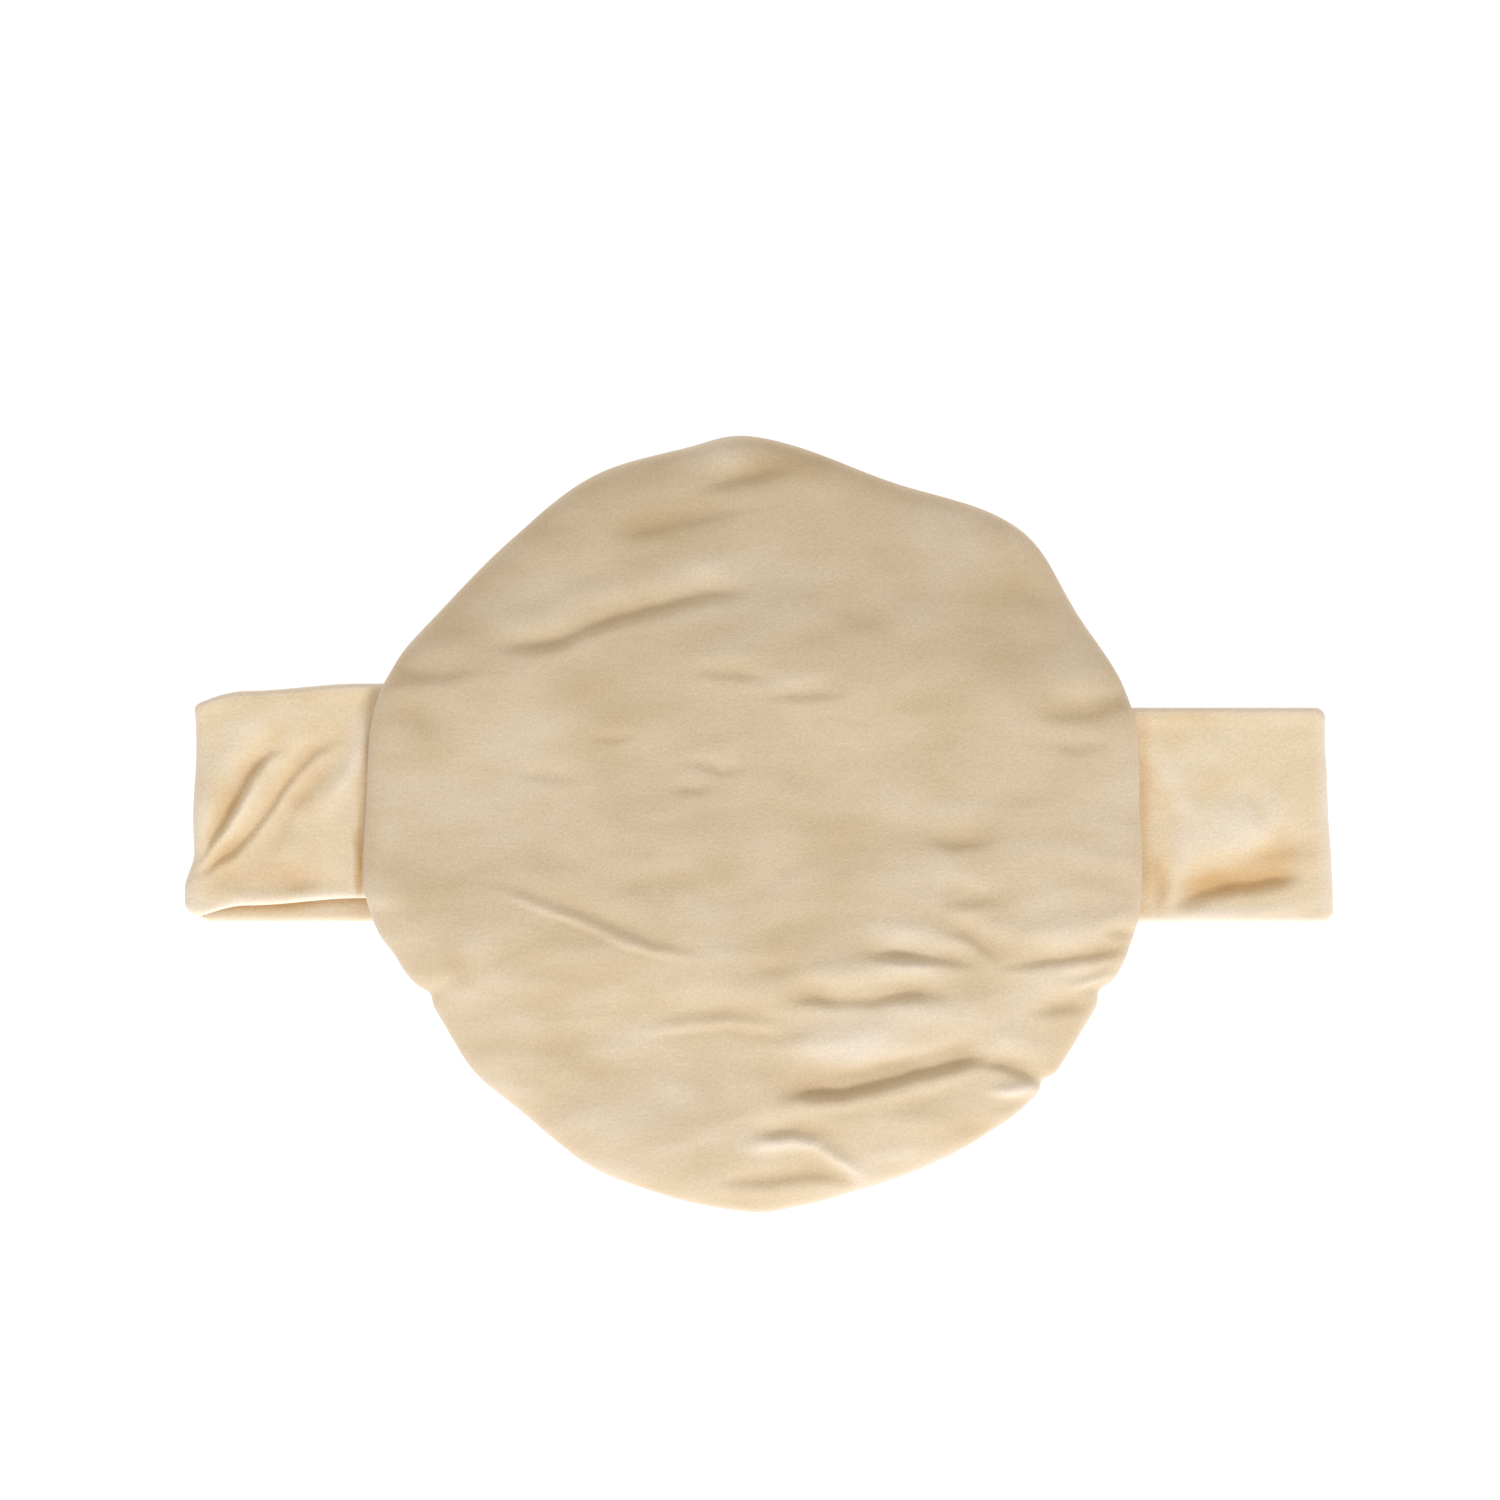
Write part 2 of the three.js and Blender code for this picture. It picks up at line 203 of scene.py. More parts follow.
def finish_piece(piece, material, slot, body, *nodes):
    """Gives a piece its material, attaches it to the body that it rides and hides the CAD nodes that it
    stands for.
    """
    piece.data.materials.append(material)
    if body:
        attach(piece, body)
    if nodes:
        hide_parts(*nodes)
    return piece


def disc_grid(side):
    """A round grid of even quads: a square with bulging sides in the middle, and rings round it. Returns each
    point's share of the radius and its angle, the faces, and the indices of the rim."""
    half, bulge = 0.52, 0.28
    lattice = np.linspace(-1, 1, side + 1)
    u, v = np.meshgrid(lattice, lattice)
    inner = np.stack([u * (1 + bulge * (1 - v**2)), v * (1 + bulge * (1 - u**2))], -1) * half
    index = np.arange((side + 1) ** 2).reshape(side + 1, side + 1)
    loop = np.concatenate([index[0, :-1], index[:-1, -1], index[-1, :0:-1], index[:0:-1, 0]])
    inner = inner.reshape(-1, 2)
    rings = round(side * 0.4)
    points = [inner]
    start = inner[loop]
    angle = np.arctan2(start[:, 1], start[:, 0])
    even = -0.75 * math.pi + 2 * math.pi * np.arange(len(loop)) / len(loop)
    rows = [loop]
    for ring in range(1, rings + 1):
        share = ring / rings
        turned = angle + np.angle(np.exp(1j * (even - angle))) * smoothstep(0, 1, share)
        rim = np.stack([np.cos(turned), np.sin(turned)], -1)
        points.append(start * (1 - share) + rim * share)
        rows.append(len(inner) + (ring - 1) * len(loop) + np.arange(len(loop)))
    xy = np.concatenate(points)
    quads = np.stack([index[:-1, :-1], index[:-1, 1:], index[1:, 1:], index[1:, :-1]], -1).reshape(-1, 4)
    faces = [tuple(map(int, q)) for q in quads]
    for low, high in zip(rows, rows[1:]):
        a, b, c, d = low, np.roll(low, -1), np.roll(high, -1), high
        faces += [tuple(map(int, q)) for q in np.stack([a, d, c, b], -1)]
    return np.hypot(*xy.T), np.arctan2(xy[:, 1], xy[:, 0]), faces, rows[-1]


def turned_over(grid):
    """The same grid with its faces the other way up."""
    t, phi, faces, rim = grid
    return t, phi, [tuple(reversed(face)) for face in faces], rim


def tube_faces(rows, count, offset=0, flip=False):
    """The quads between rows of count points that run round a tube."""
    faces = []
    for low in range(offset, offset + (rows - 1) * count, count):
        for i in range(count):
            j = (i + 1) % count
            face = (low + i, low + j, low + count + j, low + count + i)
            faces.append(tuple(reversed(face)) if flip else face)
    return faces


def stitched(name, lines, stitch, gap, radius):
    """Runs of stitches along lines of points: each a short thread that narrows towards both ends."""
    rows, sides = 7, 6
    points, faces = [], []
    for line in lines:
        line = np.asarray(line, float)
        walked = walked_along(line)
        count = max(1, round(walked[-1] / (stitch + gap)))
        pitch = walked[-1] / count
        for i in range(count):
            at = pitch * i + gap / 2 + np.linspace(0, 1, rows) * (pitch - gap)
            middle = np.stack([np.interp(at, walked, line[:, k]) for k in range(3)], -1)
            along = np.gradient(middle, axis=0)
            along /= np.linalg.norm(along, axis=1, keepdims=True)
            sideways = np.cross(along, (0, 0, 1.0))
            sideways /= np.linalg.norm(sideways, axis=1, keepdims=True)
            up = np.cross(sideways, along)
            size = radius * np.sqrt(1 - np.linspace(-0.97, 0.97, rows) ** 4)
            offset = len(points)
            for centre, across, over, r in zip(middle, sideways, up, size):
                for k in range(sides):
                    a = 2 * math.pi * k / sides
                    points.append(centre + r * (math.cos(a) * across + math.sin(a) * over))
            faces += tube_faces(rows, sides, offset, flip=True)
            faces.append(tuple(offset + k for k in range(sides)))
            faces.append(tuple(offset + (rows - 1) * sides + k for k in reversed(range(sides))))
    return make_mesh(name, points, faces)


def surface_normals(points, faces):
    """Vertex normals of a quad surface."""
    q = np.array(faces)
    face = np.cross(points[q[:, 2]] - points[q[:, 0]], points[q[:, 3]] - points[q[:, 1]])
    total = np.zeros_like(points)
    for corner in range(4):
        np.add.at(total, q[:, corner], face)
    return total / np.linalg.norm(total, axis=1, keepdims=True)


# ---------------- the pad's shape

def read_outline():
    """The pad's radius at any angle, as a few smooth waves through the CAD cover's rim."""
    inside_rim, sectors, smooth_waves = 70, 48, 20
    rim = vertices("front_cover")[:, :2] - (PAD_X, PAD_Y)
    radius = np.hypot(*rim.T)
    rim, radius = rim[radius > inside_rim], radius[radius > inside_rim]
    sector = np.round(np.arctan2(rim[:, 1], rim[:, 0]) * sectors / (2 * math.pi)).astype(int) % sectors
    furthest = np.array([radius[sector == s].max() for s in range(sectors)])
    waves = np.fft.rfft(furthest) / sectors
    waves[1:-1] *= 2
    return waves[:smooth_waves]


OUTLINE = read_outline()

# Where the edge tucks in at the end of a crease, or stands out: (degrees, depth, half width in degrees)
EDGE_TUCKS = [
    (93, -0.6, 4.0), (199.5, 0.5, 2.0), (207.5, 1.3, 1.6),
    (272, -0.5, 3.0), (318.5, 1.4, 1.5), (334.5, 1.5, 1.5),
]


def outline_radius(phi):
    radius = np.real(sum(wave * np.exp(1j * k * phi) for k, wave in enumerate(OUTLINE)))
    for degrees, depth, width in EDGE_TUCKS:
        away = np.degrees(np.angle(np.exp(1j * (phi - math.radians(degrees))))) / width
        radius = radius - depth * np.exp(-(away**2))
    return radius


def over_band(y):
    """1 over the band, where it holds the pad up, and 0 where the pad lies on the table."""
    return 1 - smoothstep(30, 58, np.abs(y - BAND_Y))


def seam_height(y):
    """The edge seam's height: low at the pad's top and bottom, and lifted by the band in the middle."""
    return SEAM_ON_TABLE + LIFT * over_band(y)


def closure_push(x, y):
    """How far the closure pushes the pad's back in."""
    return CLOSURE_RISE * over_band(y) * smoothstep(-88, -72, x) * (1 - smoothstep(0, 25, x))


def seam_lip(x, y):
    """How far each cover's edge opens round a strap."""
    middle = np.where(x < 0, BAND_Y + SKEW_AT_FOLD + SKEW_TO_PAD, BAND_Y)
    at_strap = 1 - smoothstep(BAND_WIDTH / 2 - 1, BAND_WIDTH / 2 + 3, np.abs(y - middle))
    return (BAND / 2 + 0.05) * at_strap * smoothstep(70, 84, np.abs(x))


def profile(t, rise, squareness, bulge_at, tuck):
    """A cover's section: from the axis at height rise, out to the widest point at height bulge_at, and tucked
    in towards the seam. Returns the share of the radius and the height at shares t of the way along it."""
    angle = np.linspace(math.pi / 2, 0, 240)
    r = PAD_RADIUS * np.cos(angle) ** (2 / squareness)
    r[0] = 0
    h = bulge_at + (rise - bulge_at) * np.sin(angle) ** (2 / squareness)
    turn = np.linspace(0, math.radians(80), 12)[1:]
    r = np.concatenate([r, PAD_RADIUS - tuck * (1 - np.cos(turn))])
    h = np.concatenate([h, bulge_at * (1 - np.sin(turn))])
    walked = walked_along(np.column_stack([r, h]))
    share = walked / walked[-1]
    return np.interp(t, share, r) / PAD_RADIUS, np.interp(t, share, h)


# Creases (below 0) and ridges (above 0) of the front: (points, height, width above, width below)
PAD_FOLDS = [
    ([(-62, 41.2), (-54, 41.2), (-46, 43.1), (-38.8, 46.3), (-30.4, 49.1), (-21, 51), (-13.7, 52.8),
      (-4.4, 54.7)], -1.0, 3.2, 2.2),
    ([(-36, 68.2), (-27.6, 68.6), (-20.2, 70.3), (-11, 71.8), (-2.5, 74.2)], -0.5, 3.6, 2.6),
    ([(-14, 79), (-1.6, 82), (7, 84.6)], -1.0, 3.6, 3.2),
    ([(-16.5, 35.1), (-7.2, 35.3), (2.1, 34.4)], -0.5, 2.2, 1.5),
    ([(2.1, 30), (9.6, 29.4), (18.9, 30.5)], -0.55, 2.2, 1.4),
    ([(-40, 19.8), (-35, 19.9), (-29, 20.6)], -0.3, 1.8, 1.2),
    ([(-16.5, 14.7), (-9, 12.6), (-2.5, 13.8)], -0.4, 2, 1.4),
    ([(-20.2, 8.4), (-15, 8.2), (-10.5, 9.2)], -0.35, 1.7, 1.2),
    ([(-55.5, 11.9), (-46, 11), (-38.8, 11.4)], -0.25, 2.4, 1.8),
    ([(37.5, -2.1), (44, -3.7), (53.3, -3)], -0.55, 3.4, 2.2),
    ([(39.4, -17), (47, -17.4), (58, -16.6)], -0.5, 3.6, 2.2),
    ([(-84, 33.6), (-72.3, 35.4), (-64.8, 36.4)], -0.8, 3.4, 2.6),
    ([(-88, 26), (-80, 24), (-73, 20)], -0.4, 4.5, 4),
    ([(61.7, 28.6), (67.3, 26.6), (74.7, 26.4), (84, 28.6)], -0.8, 3.6, 2.6),
    ([(66, 20), (73, 18.4), (81, 19.4)], -0.4, 3, 2.2),
    ([(53, 58), (60, 55.6), (69, 52)], -0.55, 6, 4.6),
    ([(16, 52), (22, 48.4), (29, 45.2)], -0.4, 5, 4),
    ([(-58, -17), (-49.1, -19.7), (-42.1, -22.1), (-36.3, -25), (-30.5, -27.9), (-24.7, -29.3),
      (-17.7, -30.2)], 0.42, 1.5, 0.9),
    ([(-60, -13.4), (-46, -17.4), (-36, -21.6), (-26, -26), (-12, -29)], -0.4, 3, 1.6),
    ([(-29.3, -48.6), (-23.5, -47.5), (-16, -45.9), (-8, -45), (0, -46.2), (7, -48.8)], 0.42, 1.6, 1.2),
    ([(-24, -44), (-14, -42.6), (-3, -43), (6, -45)], -0.35, 3, 1.8),
    ([(-53, -46), (-45.6, -50), (-38, -55)], -0.3, 5, 5),
    ([(-73, -24), (-71, -30), (-68, -36)], -0.4, 3, 3),
    ([(-2, -32.6), (4, -32.8), (10, -32)], -0.35, 3, 2),
    ([(-1, -47.6), (4, -48.2), (11, -47.4)], -0.3, 2.4, 1.8),
    ([(23, -28.5), (30, -29.7), (37, -30.5), (44, -30.9), (50, -32)], -1.25, 2.9, 1.6),
    ([(41.6, -24.1), (47.5, -25), (52.1, -27.9), (55.6, -30.8)], -0.8, 2.6, 1.7),
    ([(55, -32), (63.7, -31.2), (72.5, -30.2), (78.3, -29.4), (86, -28.2)], -1.35, 3.2, 1.7),
    ([(77.7, -23.8), (81, -24.4), (86, -25)], -0.6, 2, 1.4),
    ([(70, -37.4), (76, -36.2), (82, -34.8)], 0.75, 1.2, 1.3),
    ([(60.8, -42.4), (68, -42.6), (77, -41.6)], -0.9, 3.6, 2.2),
    ([(5.6, -38.4), (11.4, -39.5), (18.4, -40.1), (25.9, -40.1), (32.3, -39.2), (42, -38.8)],
     -1.25, 3.2, 1.9),
    ([(5.6, -62.4), (17.2, -60.9), (26, -59.4), (34, -57.6), (41, -55.6), (48, -53.6), (54, -53)],
     -1.8, 5.0, 2.0),
    ([(50, -54.4), (56, -55.4), (61, -57.4), (66.5, -60)], -1.1, 3.2, 1.6),
    ([(14, -58), (26, -55.6), (38, -52.6), (48, -49.8)], -0.3, 1.8, 1.4),
    ([(24, -54.6), (34, -52.4), (44, -49)], 0.25, 1.6, 1.6),
    ([(10, -65), (24, -63.4), (36, -61.4), (46, -58.4)], 0.22, 2.0, 1.8),
    ([(52.1, -61.2), (58, -61.2), (66, -60.8)], 0.85, 1.4, 1.5),
    ([(54, -65), (59, -64.4), (64, -63.4)], -0.5, 1.8, 1.8),
    ([(-3, -71.2), (5, -70.6), (14, -70.8)], -0.65, 2.6, 1.8),
    ([(-4, -73.6), (7.3, -73.3), (13.1, -73.9), (17.2, -76.8), (21.9, -80.2), (26, -83)], 0.95, 1.9, 2.1),
    ([(-9, -82), (2, -81.8), (11.4, -81.2), (17, -82), (23, -83.4)], -0.75, 2.6, 2),
    ([(3, -52), (16, -50), (30, -47.6)], 0.25, 4, 4),
    ([(28, -66), (40, -65.6), (48, -66.4)], -0.35, 4, 3),
]

# Patches where the front is coloured darker (below 0) or paler (above 0): partly the nap, partly painted
# shade along creases and painted highlights on ridges and edges: (x, y, half width, half height, amount)
PAD_NAP_AND_PAINTED_LIGHT = [
    (8, 84, 15, 4, -0.7), (-4, 78, 12, 4, -0.45), (62, 56, 12, 6, -0.4), (-83, 26, 8, 6, -0.35),
    (-26, 69, 14, 4, -0.3), (-12, 87, 8, 4, 0.35), (41, 71, 15, 6, 0.55), (-60, 2, 22, 11, 0.3),
    (20, 57, 14, 5, 0.25), (76, 27, 10, 4, -0.35), (-45, -50, 13, 8, -0.12), (-71, -30, 5, 8, -0.3),
    (40, -12, 16, 3.5, 0.35), (52, -13, 13, 3, 0.35), (84, -8, 7, 18, 0.45), (-70, -55, 14, 12, 0.35),
    (-20, -66, 26, 8, 0.45), (35, -52, 16, 3.4, 0.7), (70, -34, 12, 2.6, 0.45), (35, -25.5, 10, 2.4, 0.5),
    (8, -74, 11, 2.4, 0.8), (21, -80, 5, 3, 0.8), (60, -61, 8, 1.8, 0.6), (18, -79, 12, 3, -0.2),
    (60, -46, 12, 4, 0.35), (-88, -2, 4, 26, 0.35), (-40, -78, 20, 5, 0.35), (46, -79, 20, 6, 0.3),
    (16, -44.5, 16, 3, 0.3), (-3, 52, 22, 5, 0.1), (-30, 56, 16, 4, 0.2), (40, 30, 20, 16, -0.15),
    (-40, 30, 20, 12, -0.12), (20, -5, 16, 8, -0.12), (-10, -20, 22, 6, 0.1),
]


def front_relief(x, y, t):
    """How far the front's skin stands off its smooth shape, and its colour tone there: nap patches, with
    painted shade in creases and hollows and painted highlights on ridges.
    """
    still = 1 - smoothstep(0.95, 1, t)
    folds = fold_relief(x, y, PAD_FOLDS)
    # the lower right is rumpled: soft folds that run across it
    rumpled = smoothstep(-95, 25, x - 1.1 * y) * smoothstep(30, -30, y)
    turn = math.radians(5)
    u, v = x * math.cos(turn) + y * math.sin(turn), y * math.cos(turn) - x * math.sin(turn)
    v = v + 1.2 * swell(x, y, 40, 72)
    rumples = 0.085 * swell(u / 3.4, v, 10.5, 73) + 0.03 * swell(u / 2.6, v, 5.2, 74)
    broad = 0.40 * swell(x, y, 64, 3) + 0.13 * swell(x, y, 25, 5, 1.8) + 0.025 * swell(x, y, 10, 8, 1.6)
    total = folds + rumples * (0.35 + 0.65 * rumpled) + broad * (0.5 + 0.5 * smoothstep(0, 0.2, 1 - t))
    # colour tone: nap patches, painted shade in creases and rumple hollows, painted highlights on ridges and
    # rumple crests, and random patches
    nap_and_painted_light = spots(x + 1.5 * swell(x, y, 16, 91), y + 1.0 * swell(x, y, 12, 92), PAD_NAP_AND_PAINTED_LIGHT)
    nap_and_painted_light = 0.45 * nap_and_painted_light + np.clip(0.34 * folds, -0.5, 0.35) + 0.8 * rumples * (0.3 + 0.7 * rumpled)
    nap_and_painted_light = nap_and_painted_light + 0.07 * swell(x, y, 30, 93, 1.4) + 0.04 * swell(x, y, 11, 94, 1.8)
    return total * still, nap_and_painted_light


def room_for_straps(edge, phi, room):
    """The filling's edge, drawn in where the seam holds the straps."""
    y = PAD_Y + edge * np.sin(phi)
    return edge - room * (1 - smoothstep(BAND_WIDTH / 2 + 8, BAND_WIDTH / 2 + 24, np.abs(y - BAND_Y)))


def cover_plan(grid, inset, strap_room, **shape):
    """Where a cover's points lie on the pad: x, y, the radius, and the height above or below the seam."""
    t, phi, _, _ = grid
    share, height = profile(t, **shape)
    radius = share * room_for_straps(outline_radius(phi) - inset, phi, strap_room)
    return PAD_X + radius * np.cos(phi), PAD_Y + radius * np.sin(phi), radius, height


def front_points(grid, inset=0.0, strap_room=0.0):
    """The front's skin on a grid, or a surface inset within it. Returns the points and their colour tone: nap
    patches with painted shade and painted highlights.
    """
    t, _, faces, _ = grid
    shape = {"rise": DOME - inset, "squareness": 2.7, "bulge_at": 1.3, "tuck": 1.1}
    x, y, _, height = cover_plan(grid, inset, strap_room, **shape)
    lip = seam_lip(x, y) * smoothstep(0.8, 0.98, t)
    points = np.stack([x, y, seam_height(y) + height + lip], -1)
    bumps, nap_and_painted_light = front_relief(x, y, t)
    points += surface_normals(points, faces) * bumps[:, None]
    return points, nap_and_painted_light


def back_points(grid, raise_by=0.0, inset=0.0, strap_room=0.0):
    """The back's skin on a grid, or a surface above it. Returns the points and how far they are dented."""
    t = grid[0]
    shape = {"rise": SEAM_ON_TABLE, "squareness": 4.2, "bulge_at": 0.9, "tuck": 0.8}
    x, y, radius, height = cover_plan(grid, 0.3 + inset, strap_room, **shape)
    flat = 1 - smoothstep(0.86, 0.97, t)
    lip = seam_lip(x, y) * smoothstep(0.9, 0.99, t)
    rise = closure_push(x, y) * (1 - smoothstep(80, 86, radius))
    soft = 0.22 * np.abs(swell(x, y, 30, 21, 1.3)) + 0.12 * np.abs(swell(x, y, 12, 22))
    raised = raise_by * (1 - smoothstep(0.93, 1.0, t))
    z = seam_height(y) - height - lip + rise + flat * soft + raised
    return np.stack([x, y, np.maximum(z, 0.05 + raised)], -1), soft * flat


def shell(name, outer, outer_grid, inner, inner_grid, attributes):
    """A closed cloth shell from an outer surface and a coarser inner one, joined at their rims."""
    _, _, outer_faces, outer_rim = outer_grid
    _, _, inner_faces, inner_rim = inner_grid
    offset = len(outer)
    faces = list(outer_faces) + [tuple(offset + i for i in reversed(face)) for face in inner_faces]
    ratio = len(outer_rim) // len(inner_rim)
    for i, near in enumerate(inner_rim):
        following = offset + int(inner_rim[(i + 1) % len(inner_rim)])
        near = offset + int(near)
        for k in range(ratio):
            a = int(outer_rim[(i * ratio + k) % len(outer_rim)])
            b = int(outer_rim[(i * ratio + k + 1) % len(outer_rim)])
            held = near if k < ratio / 2 else following
            faces.append((b, a, held))
            if k == math.ceil(ratio / 2) - 1:
                faces.append((b, near, following))
    values = {key: np.concatenate([value, np.zeros(len(inner))]) for key, value in attributes.items()}
    return make_mesh(name, np.concatenate([outer, inner]), faces, values)


# ---------------- materials

def node_material(name):
    material = bpy.data.materials.new(name)
    material.use_nodes = True
    return material, material.node_tree, material.node_tree.nodes["Principled BSDF"]


def feed(tree, socket, value):
    """Sets a socket to a value, or links another node's output to it."""
    if isinstance(value, bpy.types.NodeSocket):
        tree.links.new(value, socket)
    else:
        socket.default_value = value


def add_node(tree, kind, output, **inputs):
    """Adds a node with its inputs set or linked, and returns one of its outputs."""
    node = tree.nodes.new(kind)
    for key, value in inputs.items():
        feed(tree, node.inputs[key.replace("_", " ")], value)
    return node.outputs[output]


def place_in_space(tree):
    return add_node(tree, "ShaderNodeTexCoord", "Object")


def noise(tree, place, scale, detail, roughness, distortion=0.0):
    field = {"Scale": scale, "Detail": detail, "Roughness": roughness, "Distortion": distortion}
    return add_node(tree, "ShaderNodeTexNoise", "Fac", Vector=place, **field)


def ribs(tree, place, axis, **inputs):
    """Parallel ribs across one axis."""
    height = add_node(tree, "ShaderNodeTexWave", "Fac", Vector=place, **inputs)
    height.node.bands_direction = axis
    return height


def mesh_value(tree, name):
    """A value that each point of a mesh carries."""
    value = add_node(tree, "ShaderNodeAttribute", "Fac")
    value.node.attribute_name = name
    return value


def map_range(tree, value, low, high, to_low=0.0, to_high=1.0):
    ends = {"From_Min": low, "From_Max": high, "To_Min": to_low, "To_Max": to_high}
    return add_node(tree, "ShaderNodeMapRange", "Result", Value=value, **ends)


def mix(tree, share, first, second, colours=True):
    """Mixes two colours, or two numbers, by a share from 0 to 1."""
    node = tree.nodes.new("ShaderNodeMix")
    node.data_type, low, result = ("RGBA", 6, 2) if colours else ("FLOAT", 2, 0)
    for socket, value in ((0, share), (low, first), (low + 1, second)):
        feed(tree, node.inputs[socket], value)
    return node.outputs[result]


def bump(tree, height, strength, distance=0.0003, **over):
    amount = {"Strength": strength, "Distance": distance}
    return add_node(tree, "ShaderNodeBump", "Normal", Height=height, **amount, **over)


def srgb(red, green, blue):
    """A colour as it is seen on a screen, from 0 to 255, in linear light."""
    def linear(c):
        c /= 255
        return c / 12.92 if c <= 0.04045 else ((c + 0.055) / 1.055) ** 2.4
    return (linear(red), linear(green), linear(blue), 1.0)


def velour(name, colour, shade, pale, milky):
    """Knit velour: a deep matt pile whose nap lies in patches, with fine ribs under it. Creases are painted a
    deeper shade, and ridges and edges are painted paler, as highlights where the light catches the pile."""
    material, tree, surface = node_material(name)
    finish = {"Roughness": 0.92, "Specular IOR Level": 0.18, "Sheen Weight": 0.32, "Sheen Roughness": 0.42}
    for key, value in finish.items():
        surface.inputs[key].default_value = value
    surface.inputs["Sheen Tint"].default_value = srgb(250, 242, 236)
    place = place_in_space(tree)

    patches = noise(tree, place, 26, 3, 0.55, 0.8)
    long = {"Rotation": (0, 0, 0.25), "Scale": (60, 190, 60)}
    strokes = noise(tree, add_node(tree, "ShaderNodeMapping", "Vector", Vector=place, **long), 1, 4, 0.6, 1.2)
    nap = map_range(tree, mix(tree, 0.4, patches, strokes, colours=False), 0.34, 0.66)
    cloth = mix(tree, nap, colour, pale)
    nap_and_painted_light = mesh_value(tree, "nap_and_painted_light")
    # painted shade: mixed towards the shade colour where the mesh value is below 0, in creases and hollows
    cloth = mix(tree, map_range(tree, nap_and_painted_light, 0.0, -1.0), cloth, shade)
    # painted highlights on ridges and edges, with the nap's pale patches, where the mesh value is above 0
    cloth = mix(tree, map_range(tree, nap_and_painted_light, 0.0, 1.0), cloth, milky)
    # painted highlight: paler along the edges
    cloth = mix(tree, map_range(tree, mesh_value(tree, "rim"), 0.0, 1.0, to_high=0.7), cloth, milky)
    speck = map_range(tree, noise(tree, place, 1500, 3, 0.8), 0.3, 0.7, 0.90, 1.07)
    speckled = tree.nodes.new("ShaderNodeVectorMath")
    speckled.operation = "SCALE"
    feed(tree, speckled.inputs[0], cloth)
    feed(tree, speckled.inputs["Scale"], speck)
    feed(tree, surface.inputs["Base Color"], speckled.outputs["Vector"])

    knit = bump(tree, ribs(tree, place, "X", Scale=330, Distortion=1.4, Detail=2, Detail_Scale=1.5), 0.04)
    pile = bump(tree, noise(tree, place, 1500, 3, 0.65), 0.5, Normal=knit)
    feed(tree, surface.inputs["Normal"], pile)
    return material


def woven(name, colour, dark, scale, roughness=0.85, depth=0.4):
    """A plain woven cloth or tape: two sets of fine ribs."""
    material, tree, surface = node_material(name)
    surface.inputs["Roughness"].default_value = roughness
    place = place_in_space(tree)
    crossing = tree.nodes.new("ShaderNodeMath")
    crossing.operation = "MULTIPLY"
    for socket, axis in enumerate("XY"):
        feed(tree, crossing.inputs[socket], ribs(tree, place, axis, Scale=scale, Distortion=0.6, Detail=1))
    weave = crossing.outputs["Value"]
    feed(tree, surface.inputs["Base Color"], mix(tree, weave, dark, colour))
    feed(tree, surface.inputs["Normal"], bump(tree, weave, depth))
    return material


def fluffy(name, colour, dark):
    """Loose wadding: a matt tangle of fibres."""
    material, tree, surface = node_material(name)
    surface.inputs["Roughness"].default_value = 1.0
    tangle = noise(tree, place_in_space(tree), 420, 6, 0.75, 2.5)
    feed(tree, surface.inputs["Base Color"], mix(tree, tangle, dark, colour))
    feed(tree, surface.inputs["Normal"], bump(tree, tangle, 0.7, distance=0.001))
    return material


PAD_VELOUR = velour(
    "pad velour", srgb(205, 182, 150), srgb(180, 151, 106), srgb(213, 192, 163), srgb(226, 211, 194)
)
SKIN_VELOUR = velour(
    "skin side velour", srgb(204, 182, 150), srgb(178, 151, 112), srgb(212, 192, 163), srgb(224, 210, 190)
)
BAND_VELOUR = velour(
    "band velour", srgb(222, 197, 158), srgb(204, 164, 112), srgb(229, 208, 177), srgb(235, 222, 207)
)
LINING = woven("black-out lining", srgb(58, 54, 50), srgb(34, 31, 29), 1100)
WADDING = fluffy("wadding", srgb(238, 235, 226), srgb(206, 201, 188))
ELASTIC = woven("elastic", srgb(236, 231, 218), srgb(196, 188, 170), 420, depth=0.7)
TAPE = woven("fastener tape", srgb(240, 228, 204), srgb(222, 205, 176), 700, roughness=0.7)
THREAD = woven("thread", srgb(214, 188, 148), srgb(176, 148, 108), 1800, roughness=0.6)


# ---------------- the pad

COVER_ROOM = CLOTH + 1.2  # how far the filling's edge lies inside the pad's


def make_front_cover():
    fine, coarse = disc_grid(160), disc_grid(40)
    outer, nap_and_painted_light = front_points(fine)
    inner, _ = front_points(coarse, inset=CLOTH)
    # painted highlight: the front's colour is mixed paler towards its edge
    rim = smoothstep(0.93, 0.99, fine[0])
    cover = shell("front_cover_plush", outer, fine, inner, coarse, {"nap_and_painted_light": nap_and_painted_light, "rim": rim})
    finish_piece(cover, PAD_VELOUR, "velour", "pad", "front_cover")


def make_back_cover():
    fine, coarse = turned_over(disc_grid(100)), turned_over(disc_grid(50))
    outer, soft = back_points(fine)
    inner, _ = back_points(coarse, raise_by=CLOTH, inset=0.6)
    # painted shade: the back is coloured darker where it is dented
    cover = shell("back_cover_plush", outer, fine, inner, coarse, {"nap_and_painted_light": -0.4 * soft, "rim": 0 * soft})
    finish_piece(cover, SKIN_VELOUR, "skin_velour", "pad", "back_cover")


